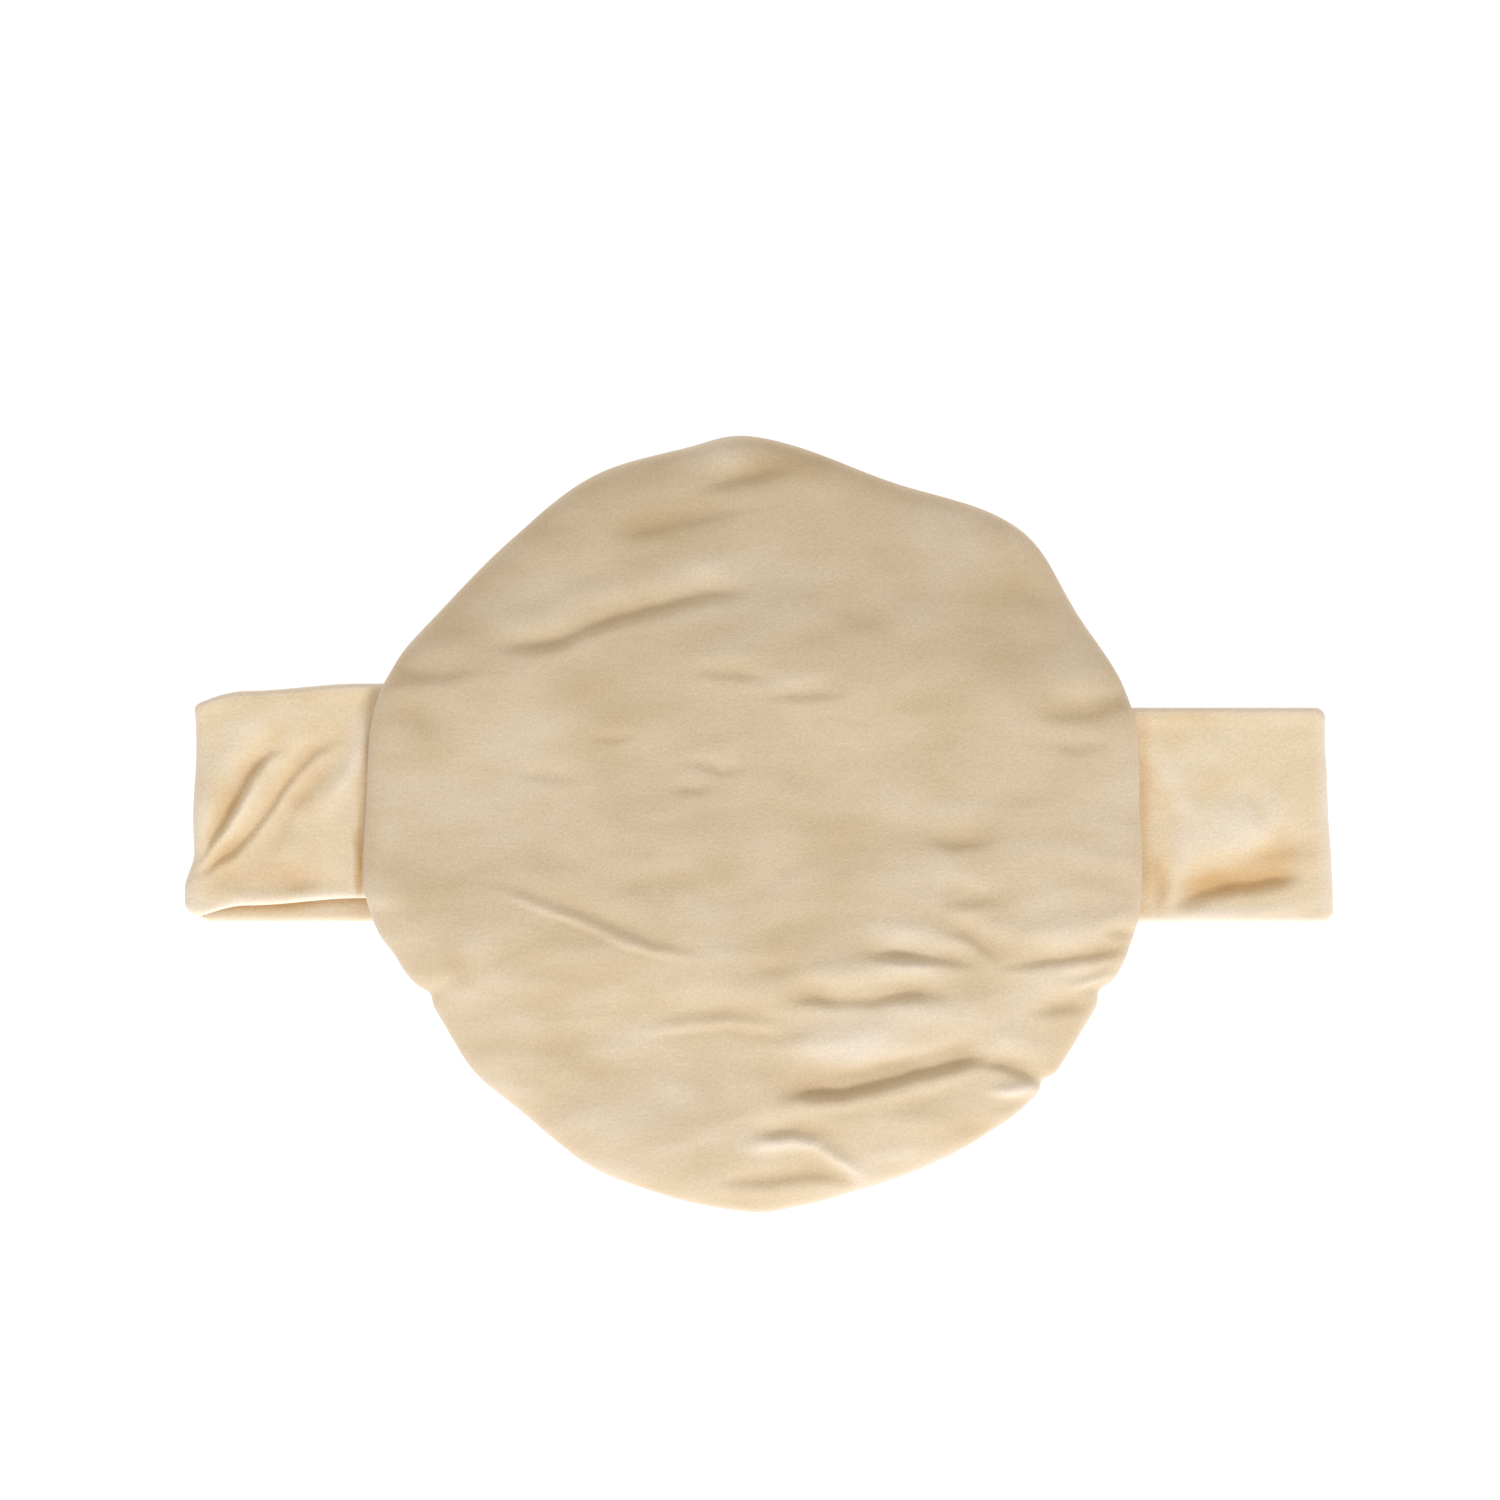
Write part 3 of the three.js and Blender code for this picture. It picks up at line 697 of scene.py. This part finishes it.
def make_liner():
    """The black-out lining, which lies on the back cover inside its seam allowance."""
    grid, gap, thickness = disc_grid(40), 0.25, 0.5
    room = {"inset": 9.0, "strap_room": 10.0}
    bottom, _ = back_points(grid, raise_by=CLOTH + gap, **room)
    top, _ = back_points(grid, raise_by=CLOTH + gap + thickness, **room)
    liner = shell("liner_cloth", top, grid, bottom, grid, {})
    finish_piece(liner, LINING, "lining", "pad", "blackout_liner")


def make_filling():
    """The wadding, which fills the pad from the lining to the front cover."""
    grid = disc_grid(60)
    top, _ = front_points(grid, inset=COVER_ROOM, strap_room=17.0)
    bottom, _ = back_points(grid, raise_by=CLOTH + 1.0, inset=COVER_ROOM, strap_room=17.0)
    top[:, 2] = np.maximum(top[:, 2], bottom[:, 2] + 0.05)
    filling = shell("filling_wadding", top, grid, bottom, grid, {})
    finish_piece(filling, WADDING, "wadding", "pad", "filling")


def make_edge_threads():
    """The two runs of stitches that close the edge seam, from one strap round to the other."""
    for name, low, high in (("upper", 20.5, 156.5), ("lower", 198.5, 339.5)):
        angle = np.radians(np.linspace(low, high, 1200))
        radius = outline_radius(angle) - 0.75
        x, y = PAD_X + radius * np.cos(angle), PAD_Y + radius * np.sin(angle)
        line = np.stack([x, y, seam_height(y)], -1)
        thread = stitched(f"{name}_edge_thread", [line], stitch=3.2, gap=1.1, radius=0.3)
        finish_piece(thread, THREAD, "thread", "pad", f"edge_stitch_{name}")


make_front_cover()
make_back_cover()
make_liner()
make_filling()
make_edge_threads()


# ---------------- the band

ROUTE_STEP = 0.25  # between the centre line's points
TURN_STEPS = 40  # round a side fold
STATION_STEP = 0.75  # between a sleeve's rings of points


def left_back_height(x):
    return BACK_Z + CLOSURE_RISE * smoothstep(CLIMB_FOOT, CLIMB_FOOT + CLIMB, x)


def right_back_height(x):
    return BACK_Z


def band_route(side, fold_x, root_x, end_x, height):
    """The band's centre line in the XZ plane, as rows of (x, z, s). The length s is 0 at the fold's outermost
    point, below 0 on the front layer and above 0 on the back layer."""
    radius = FOLD_RADIUS - BAND / 2
    front = [(x, STRAP_Z) for x in np.arange(root_x, fold_x, side * ROUTE_STEP)]
    turn = [
        (fold_x + side * radius * math.cos(a), FOLD_RADIUS + radius * math.sin(a))
        for a in np.linspace(math.pi / 2, -math.pi / 2, TURN_STEPS + 1)
    ]
    back_x = np.append(np.arange(fold_x, end_x, -side * ROUTE_STEP)[1:], end_x)
    line = np.array(front + turn + [(x, float(height(x))) for x in back_x])
    walked = walked_along(line)
    apex = walked[len(front) + TURN_STEPS // 2]
    return np.column_stack([line, walked - apex])


def along_route(route, s):
    """The route's x and z at lengths s."""
    return np.interp(s, route[:, 2], route[:, 0]), np.interp(s, route[:, 2], route[:, 1])


def section(width, thickness, across, edge):
    """A flat tube's section as (across, share of the half thickness), anticlockwise from its lower left."""
    half = width / 2 - thickness / 2
    line = np.linspace(-half, half, across + 1)
    turn = np.linspace(-math.pi / 2, math.pi / 2, edge + 1)[1:-1]
    bottom = np.column_stack([line, -np.ones_like(line)])
    right = np.column_stack([half + thickness / 2 * np.cos(turn), np.sin(turn)])
    return np.concatenate([bottom, right, -bottom, -right])


# Creases and ridges of the two straps' front layers, as on the pad
STRAP_FOLDS = {
    -1: [
        ([(-131, -8.2), (-125.6, -0.1), (-121.9, 6.8), (-118.6, 12.2), (-113.8, 17), (-109, 19)],
         -1.25, 3.2, 1.3),
        ([(-129, -9), (-124.2, -1.4), (-120.2, 5.6), (-116, 12)], 0.55, 1.2, 1.4),
        ([(-130.4, -11.6), (-123.5, -6.6), (-117.6, -0.1), (-113.3, 5.2), (-108.5, 12.7), (-104.2, 17.5),
          (-98.9, 21.3)], -1.0, 2.8, 1.3),
        ([(-116, -8), (-110.6, 0.9), (-106.3, 6.3), (-101.5, 15.4)], -0.45, 3.4, 2.4),
        ([(-102, 0), (-98.9, 8.4), (-94.5, 16), (-91.8, 25)], 0.6, 2.6, 2.6),
        ([(-112, -13.4), (-107.6, -13), (-103, -11.4)], -0.35, 3.6, 2.6),
        ([(-93.5, -18), (-93.3, -6), (-93.5, 2)], -0.9, 0.8, 0.8),
        ([(-126, 22), (-112, 26.5), (-98, 28)], 0.3, 5, 4),
        ([(-129, -15.5), (-118, -17), (-100, -15.8)], 0.3, 2.2, 1.8),
    ],
    1: [
        ([(95, -18.4), (102, -16), (110, -14.4), (118, -13), (126, -10.6)], -1.6, 6.2, 2.6),
        ([(110, -9), (119, -6), (129, -4.4)], -0.55, 4.6, 3.2),
        ([(90.5, 20), (96, 11), (100.5, 3), (100, -8)], 0.45, 3.6, 3.6),
        ([(92.6, -5), (93, -11), (91.5, -19)], -0.8, 1.8, 1.8),
        ([(113, 9), (115.6, 5), (116.4, 0)], -0.35, 2, 2),
        ([(98, -21.4), (114, -20.4), (129, -18)], 0.35, 2, 1.8),
    ],
}

# Where their colour lies dark or pale, as on the pad: partly the nap, partly painted shade in creases and
# along the pad's edge, and painted highlights on ridges and rolled edges
STRAP_NAP_AND_PAINTED_LIGHT = {
    -1: [
        (-125, -2, 4, 9, -0.3), (-104, 12, 8, 10, -0.25), (-96, 8, 3, 14, 0.45), (-110, -12, 9, 4, -0.35),
        (-120, 22, 9, 5, 0.1), (-93.2, -8, 0.6, 12, -1.5), (-131.5, 2, 2, 20, 0.45),
        (-113, -18, 18, 1.5, 0.35), (-131, -18, 3, 4, 0.5), (-94.5, 22, 1.5, 6, 0.5),
    ],
    1: [
        (88.8, 2, 1.4, 24, -0.85), (91.4, -11, 2, 7, -0.7), (97, 6, 4, 10, 0.45), (110, 14, 12, 8, 0.35),
        (109, -14.2, 12, 3.4, -0.6), (123, -7.4, 9, 4, -0.4), (131.8, 0, 1.6, 26, 0.8),
        (112, -20.6, 18, 1.6, 0.6), (99, -12, 3, 8, 0.35), (115, 4, 2, 5, -0.2),
    ],
}


def left_skew(s, across):
    """How far the left strap's cloth lies above the band's own line."""
    skew = SKEW_AT_FOLD * (1 - smoothstep(-14, 5, s)) + SKEW_TO_PAD * smoothstep(-14, -40, s)
    return skew + 0.6 * np.exp(-((s / 2.5) ** 2)) * smoothstep(-17, -25, across)


def fold_push(side, s, across):
    """How far a side fold's uneven cloth is pushed along X from an even half turn."""
    at_fold = np.exp(-((s / 4.5) ** 2))
    if side < 0:
        rounded = 3.4 * (1 - np.sqrt(1 - smoothstep(-20.5, -25.6, across) ** 2))
        return at_fold * (1.2 - 2.3 * smoothstep(-9, -19, across) + rounded)
    return at_fold * (-1.8 * smoothstep(-24, 24, across) - 0.9 * smoothstep(22.6, 25, np.abs(across)))


def closed_end(across, share, to_end, corner):
    """Narrows a section to rounded corners and thins it to a rolled edge, to_end away from a closed end."""
    from_corner = np.clip(corner - to_end, 0, corner)
    narrower = 1 - (corner - np.sqrt(corner**2 - from_corner**2)) / (BAND_WIDTH / 2)
    thinner = np.sqrt(np.clip(1 - np.clip(1 - to_end / 1.3, 0, 1) ** 2, 0.02, 1))
    return across * narrower, share * thinner


def band_points(side, route, s, shape, thickness, end=None, corner=None):
    """The band's skin for stations s and section points: an array of stations x points x 3, its colour tone
    (nap with painted shade and painted highlights) and its rim (a painted edge highlight).
    rim. Where the band has a rounded end, end is that end's station and corner its radius."""
    x, z = along_route(route, s)
    step = 0.3
    at = np.clip(s, route[0, 2] + step, route[-1, 2] - step)
    (x0, z0), (x1, z1) = along_route(route, at - step), along_route(route, at + step)
    length = np.hypot(x1 - x0, z1 - z0)
    nx, nz = -side * (z1 - z0) / length, side * (x1 - x0) / length
    x, z, nx, nz, s = (values[:, None] for values in (x, z, nx, nz, s))
    across, share = shape[None, :, 0], shape[None, :, 1]
    if corner:
        across, share = closed_end(across, share, np.maximum(end - s, 0.02), corner)
    front = smoothstep(4, -4, s)
    y = BAND_Y + across + 0 * s
    if side < 0:
        y = y + left_skew(s, across)
    x = x + 0 * y
    # the skin over the elastic is a little thinner than the rolled edges
    rolled = 0.84 + 0.16 * smoothstep(0.80, 0.93, np.abs(across) / (BAND_WIDTH / 2))
    creases = fold_relief(x, y, STRAP_FOLDS[side]) * front
    soft = 0.14 * swell(x, y, 24, 31 + side) + 0.035 * swell(x, y, 9, 41 + side)
    soft = soft * (0.35 + 0.65 * front) * smoothstep(60, 20, np.abs(s) * (1 - front))
    keep = np.where(share > 0, 1.0, 0.6)
    lift = share * thickness / 2 * rolled + (creases * keep + soft)
    height = np.maximum(z + nz * lift, 0.02) + 0 * y
    points = np.stack([x + fold_push(side, s, across) + nx * lift, y, height], -1)

    # painted shade in the creases and painted highlights on the ridges, over the nap's patches
    nap_and_painted_light = (0.55 * spots(x, y, STRAP_NAP_AND_PAINTED_LIGHT[side]) + np.clip(0.45 * creases, -0.6, 0.35)) * front
    nap_and_painted_light = nap_and_painted_light + 0.06 * swell(x, y, 18, 95) + 0.03 * swell(x, y, 7, 96)
    if side < 0:
        # a painted warm shadow darkens the back layer just below the front layer's lower edge
        front_edge = SKEW_AT_FOLD + SKEW_TO_PAD * smoothstep(14, 40, s) - BAND_WIDTH / 2
        shaded = smoothstep(-2.4, 0.2, across - front_edge) * (1 - front) * smoothstep(60, 40, s)
        nap_and_painted_light = nap_and_painted_light - shaded * (share < 0)
    # rim: a painted highlight along the band's rolled edges and round the side fold
    edge = np.exp(-(((BAND_WIDTH / 2 - np.abs(across)) / 1.3) ** 2)) + 0 * s
    rim = np.maximum(edge, np.exp(-((s / 2.6) ** 2))) * (0.4 + 0.6 * front)
    return points, nap_and_painted_light, rim


def tube_normals(points):
    """Normals of an array of stations x points x 3."""
    along = np.gradient(points, axis=0)
    around = np.roll(points, -1, axis=1) - np.roll(points, 1, axis=1)
    normal = np.cross(around, along)
    return normal / (np.linalg.norm(normal, axis=2, keepdims=True) + 1e-12)


def band_piece(name, side, route, s_from, s_to, start_open, end_open, corner=None):
    """A length of band: a velour sleeve with a channel for the elastic, which an open end lets out."""
    stations = np.linspace(s_from, s_to, max(2, round((s_to - s_from) / STATION_STEP) + 1))
    gap = stations[1] - stations[0]
    if corner:
        near_end = s_to - corner * (1 - np.sin(np.linspace(0, math.pi / 2, 14)))
        stations = np.unique(np.concatenate([stations[stations < s_to - corner], near_end]))
    # a station more at each end, so that the pieces' shading meets
    wide = np.concatenate([[s_from - gap], stations, [s_to + gap]])
    outer_shape = section(BAND_WIDTH, BAND, 60, 7)
    outer, nap_and_painted_light, rim = band_points(side, route, wide, outer_shape, BAND, s_to, corner)
    outer_normals = (tube_normals(outer) * side)[1:-1]
    outer, nap_and_painted_light, rim = outer[1:-1], nap_and_painted_light[1:-1], rim[1:-1]

    channel_from = s_from if start_open else s_from + CLOSED_END
    channel_to = s_to if end_open else s_to - CLOSED_END
    inner_stations = np.linspace(channel_from, channel_to, len(stations))
    inner_shape = section(CHANNEL_WIDTH, CHANNEL_THICKNESS, 60, 7)
    inner, _, _ = band_points(side, route, inner_stations, inner_shape, CHANNEL_THICKNESS)
    inner_normals = -tube_normals(inner) * side

    rows, count = len(stations), len(outer_shape)
    offset = rows * count
    faces = tube_faces(rows, count, flip=side < 0) + tube_faces(rows, count, offset, flip=side > 0)
    for row, is_open, flip in ((0, start_open, side > 0), (rows - 1, end_open, side < 0)):
        ring = [row * count + i for i in range(count)]
        hole = [offset + k for k in ring]
        if is_open:
            mouth = [(ring[i - 1], hole[i - 1], hole[i], ring[i]) for i in range(count)]
            faces += [tuple(reversed(face)) if flip else face for face in mouth]
        else:
            faces += [tuple(reversed(ring) if flip else ring), tuple(hole if flip else reversed(hole))]
    blank = np.zeros(inner[..., 0].size)
    return make_mesh(
        name,
        np.concatenate([outer.reshape(-1, 3), inner.reshape(-1, 3)]),
        faces,
        {"nap_and_painted_light": np.concatenate([nap_and_painted_light.ravel(), blank]), "rim": np.concatenate([rim.ravel(), blank])},
        np.concatenate([outer_normals.reshape(-1, 3), inner_normals.reshape(-1, 3)]),
    )


def elastic_piece(name, side, route, s_from, s_to):
    stations = np.linspace(s_from, s_to, max(2, round((s_to - s_from) / 2) + 1))
    shape = section(ELASTIC_WIDTH, ELASTIC_THICKNESS, 40, 5)
    points, _, _ = band_points(side, route, stations, shape, ELASTIC_THICKNESS)
    rows, count = len(stations), len(shape)
    first, last = range(count), range((rows - 1) * count, rows * count)
    ends = (reversed(first), last) if side > 0 else (first, reversed(last))
    faces = tube_faces(rows, count, flip=side < 0) + [tuple(end) for end in ends]
    return make_mesh(name, points.reshape(-1, 3), faces)


def point(x, y, z):
    return (x * MM, y * MM, z * MM)


def blend_across(piece, first, second, start, end, *nodes):
    """Bakes a length of band's place into its mesh, gives it the band's velour and hides the CAD nodes that
    it stands for.
    """
    point(*start)
    point(*end)
    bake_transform(piece)
    finish_piece(piece, BAND_VELOUR, "band_velour", None, *nodes)


STRAP_BEND = 2.0  # half the distance between the two points given round a strap's hinge at the pad's edge seam
TAB_BEND = 1.8  # the same round the tab's neck's hinge and the tab's peel line
FOLD_BEND = 0.85  # the same at a side fold, across its outermost line
FOLD_SLANT = 0.075  # how far those points lean inwards for each millimetre that they go down


def make_half_band(side, name, fold_x, end_x, height, end_corner):
    """A strap and the back layer that it folds into, each with its elastic."""
    seam_room, elastic_from_seam, elastic_from_end = 9, 4, 5
    hinge = HINGES[f"{name}_strap_swing"][0]
    route = band_route(side, fold_x, hinge - side * seam_room, end_x, height)
    turn = math.pi / 2 * (FOLD_RADIUS - BAND / 2)

    strap = band_piece(f"{name}_strap_front", side, route, route[0, 2], -turn, True, True)
    inner, outer = ((hinge + way * side * STRAP_BEND, BAND_Y, STRAP_Z) for way in (-1, 1))
    nodes = f"{name}_strap_root", f"{name}_strap_cover"
    blend_across(strap, "pad", f"{name}_strap", inner, outer, *nodes)

    end = route[-1, 2]
    back = band_piece(f"{name}_fold_and_back", side, route, -turn, end, True, not end_corner, end_corner)
    # two points just above and below the fold's outermost line, leaning a little inwards
    apex, slant = fold_x + side * FOLD_RADIUS, side * FOLD_BEND * FOLD_SLANT
    above = (apex + slant, BAND_Y, FOLD_RADIUS + FOLD_BEND)
    below = (apex - slant, BAND_Y, FOLD_RADIUS - FOLD_BEND)
    nodes = f"{name}_side_fold", f"{name}_back_cover"
    blend_across(back, f"{name}_strap", f"{name}_back", above, below, *nodes)

    elastic_start = -abs(fold_x - hinge) - turn + elastic_from_seam
    elastic = elastic_piece(f"{name}_front_elastic", side, route, elastic_start, -turn - 1)
    finish_piece(elastic, ELASTIC, "elastic", f"{name}_strap", f"{name}_strap_elastic")
    elastic = elastic_piece(f"{name}_back_elastic_web", side, route, turn + 1, end - elastic_from_end)
    finish_piece(elastic, ELASTIC, "elastic", f"{name}_back", f"{name}_back_elastic")


make_half_band(-1, "left", FOLD_LEFT, LAPPED_TOP[0], left_back_height, 1.8)
make_half_band(1, "right", FOLD_RIGHT, BACK_END, right_back_height, None)


# ---------------- the closure

def tab_station(x):
    """A place on the tab as a length past the right back layer, too far on for the side fold to shape it."""
    return 60 + BACK_END - x


def make_tab():
    """The tab's neck, which flexes on the right back layer, and the tab, which peels from the neck."""
    x = np.linspace(BACK_END, TAB_END, 400)
    route = np.column_stack([x, np.full_like(x, BACK_Z), tab_station(x)])
    start, middle, end = (tab_station(x) for x in (BACK_END, (PEEL_X + CLOSURE_X) / 2, TAB_END))
    neck = band_piece("tab_neck_velour", 1, route, start, middle, False, False)
    tab = band_piece("closure_tab_velour", 1, route, middle, end, False, False, corner=6)
    for piece, first, second, hinge_x in (
        (neck, "right_back", "tab_neck", CLOSURE_X),
        (tab, "tab_neck", "closure_tab", PEEL_X),
    ):
        before, after = ((hinge_x + way * TAB_BEND, BAND_Y, BACK_Z) for way in (1, -1))
        blend_across(piece, first, second, before, after, second)


def tape_strip(name, low, high, hooks):
    """A fastener strip: a woven backing with rounded corners, and rows of hooks or a brushed loop face."""
    backing, squareness, margin, pitch = 0.4, 10, 1.5, 1.25
    centre, half = (low + high) / 2, (high - low) / 2
    t, phi, faces, rim = disc_grid(16)
    reach = t * (np.abs(np.cos(phi)) ** squareness + np.abs(np.sin(phi)) ** squareness) ** (-1 / squareness)
    x, y = centre[0] + half[0] * reach * np.cos(phi), centre[1] + half[1] * reach * np.sin(phi)
    base, face = (low[2], low[2] + backing) if hooks else (high[2], high[2] - backing)
    top, bottom = (np.stack([x, y, np.full_like(x, z)], -1) for z in (max(base, face), min(base, face)))
    points, every = list(np.concatenate([top, bottom])), list(faces)
    offset = len(top)
    every += [tuple(offset + i for i in reversed(f)) for f in faces]
    for a, b in zip(rim.tolist(), np.roll(rim, -1).tolist()):
        every.append((b, a, offset + a, offset + b))

    # each hook or loop is a small pointed tuft
    way = 1 if hooks else -1
    tallest = (high[2] - low[2] - backing) * way
    wide, slope = (0.16, 0.35) if hooks else (0.3, 0.6)
    sides = ((0, 1, 3), (1, 2, 3), (2, 0, 3), (2, 1, 0))
    draw = np.random.default_rng(51 if hooks else 52)
    for column in np.arange(low[0] + margin + 0.1, high[0] - margin + 0.1, pitch):
        for row in np.arange(low[1] + margin + 0.1, high[1] - margin + 0.1, pitch):
            cx, cy = column + draw.uniform(-0.2, 0.2), row + draw.uniform(-0.2, 0.2)
            lean = draw.uniform(-slope, slope, 2)
            tip = np.array([cx + lean[0], cy + lean[1], face + tallest * draw.uniform(0.75, 0.96)])
            at = len(points)
            for k in range(3):
                a = 2 * math.pi * k / 3 + draw.uniform(0, 1)
                points.append(np.array([cx + wide * math.cos(a), cy + wide * math.sin(a), face - 0.02 * way]))
            points.append(tip)
            every += [tuple(at + i for i in (side if hooks else reversed(side))) for side in sides]
    return make_mesh(name, points, every)


def make_tapes():
    """The hook tape on the tab and the loop tape on the left back layer, each with a square of stitching."""
    stitch_inset = 2.0
    for node, body, outside in (
        ("hook_tape", "closure_tab", 0.06),
        ("loop_tape", "left_back", LAPPED_TOP[2]),
    ):
        low, high = span(node)
        strip = tape_strip(f"{node}_strip", low, high, hooks=node == "hook_tape")
        finish_piece(strip, TAPE, "fastener_tape", body, node)
        (x0, y0, _), (x1, y1, _) = low + stitch_inset, high - stitch_inset
        square = [(x0, y0), (x1, y0), (x1, y1), (x0, y1), (x0, y0)]
        sides = [np.linspace((*a, outside), (*b, outside), 60) for a, b in zip(square, square[1:])]
        stitching = stitched(f"{node}_stitching", sides, stitch=2.4, gap=0.9, radius=0.2)
        finish_piece(stitching, THREAD, "thread", body)


make_tab()
make_tapes()


# ---------------- stage, light and camera

PICTURE = 349.0  # the width of the picture at the mask's height
VIEW_CENTRE = (-2.6, 17.4, 6.0)
LENS, SENSOR = 85.0, 36.0


def make_floor():
    corners = [(-24000, -12000, -0.2), (24000, -12000, -0.2), (0, 32000, -0.2)]
    floor = make_mesh("floor", corners, [(0, 1, 2)])
    material, tree, surface = node_material("white table")
    surface.inputs["Base Color"].default_value = (0.4, 0.4, 0.4, 1)
    surface.inputs["Roughness"].default_value = 0.9
    surface.inputs["Emission Color"].default_value = (1, 1, 1, 1)
    surface.inputs["Emission Strength"].default_value = 0.82
    # seen from underneath, the table is clear, so that the mask's back can be looked at
    which = tree.nodes.new("ShaderNodeMixShader")
    feed(tree, which.inputs["Fac"], add_node(tree, "ShaderNodeNewGeometry", "Backfacing"))
    feed(tree, which.inputs[1], surface.outputs["BSDF"])
    feed(tree, which.inputs[2], add_node(tree, "ShaderNodeBsdfTransparent", "BSDF"))
    feed(tree, tree.nodes["Material Output"].inputs["Surface"], which.outputs["Shader"])
    material.cycles.emission_sampling = "NONE"
    floor.data.materials.append(material)


def add_area_light(name, place, size, power, colour):
    data = bpy.data.lights.new(name, "AREA")
    data.shape, data.size = "DISK", size
    data.color, data.energy = colour, power
    light = bpy.data.objects.new(name, data)
    light.location = place
    light.rotation_mode = "QUATERNION"
    light.rotation_quaternion = light.location.to_track_quat("Z", "Y")
    bpy.context.scene.collection.objects.link(light)


def make_light_and_camera():
    scene = bpy.context.scene
    scene.view_settings.view_transform = "Standard"
    world = bpy.data.worlds.new("soft white room")
    world.use_nodes = True
    world.node_tree.nodes["Background"].inputs["Color"].default_value = (1.0, 0.985, 0.96, 1)
    world.node_tree.nodes["Background"].inputs["Strength"].default_value = 0.8
    scene.world = world
    add_area_light("key", (0.2, -1.3, 0.75), 0.42, 16, (0.87, 0.93, 1.0))
    camera = bpy.data.objects.new("camera", bpy.data.cameras.new("camera"))
    camera.data.lens, camera.data.sensor_width = LENS, SENSOR
    distance = PICTURE * LENS / SENSOR
    camera.location = point(VIEW_CENTRE[0], VIEW_CENTRE[1], VIEW_CENTRE[2] + distance)
    scene.collection.objects.link(camera)
    scene.camera = camera


make_floor()
make_light_and_camera()
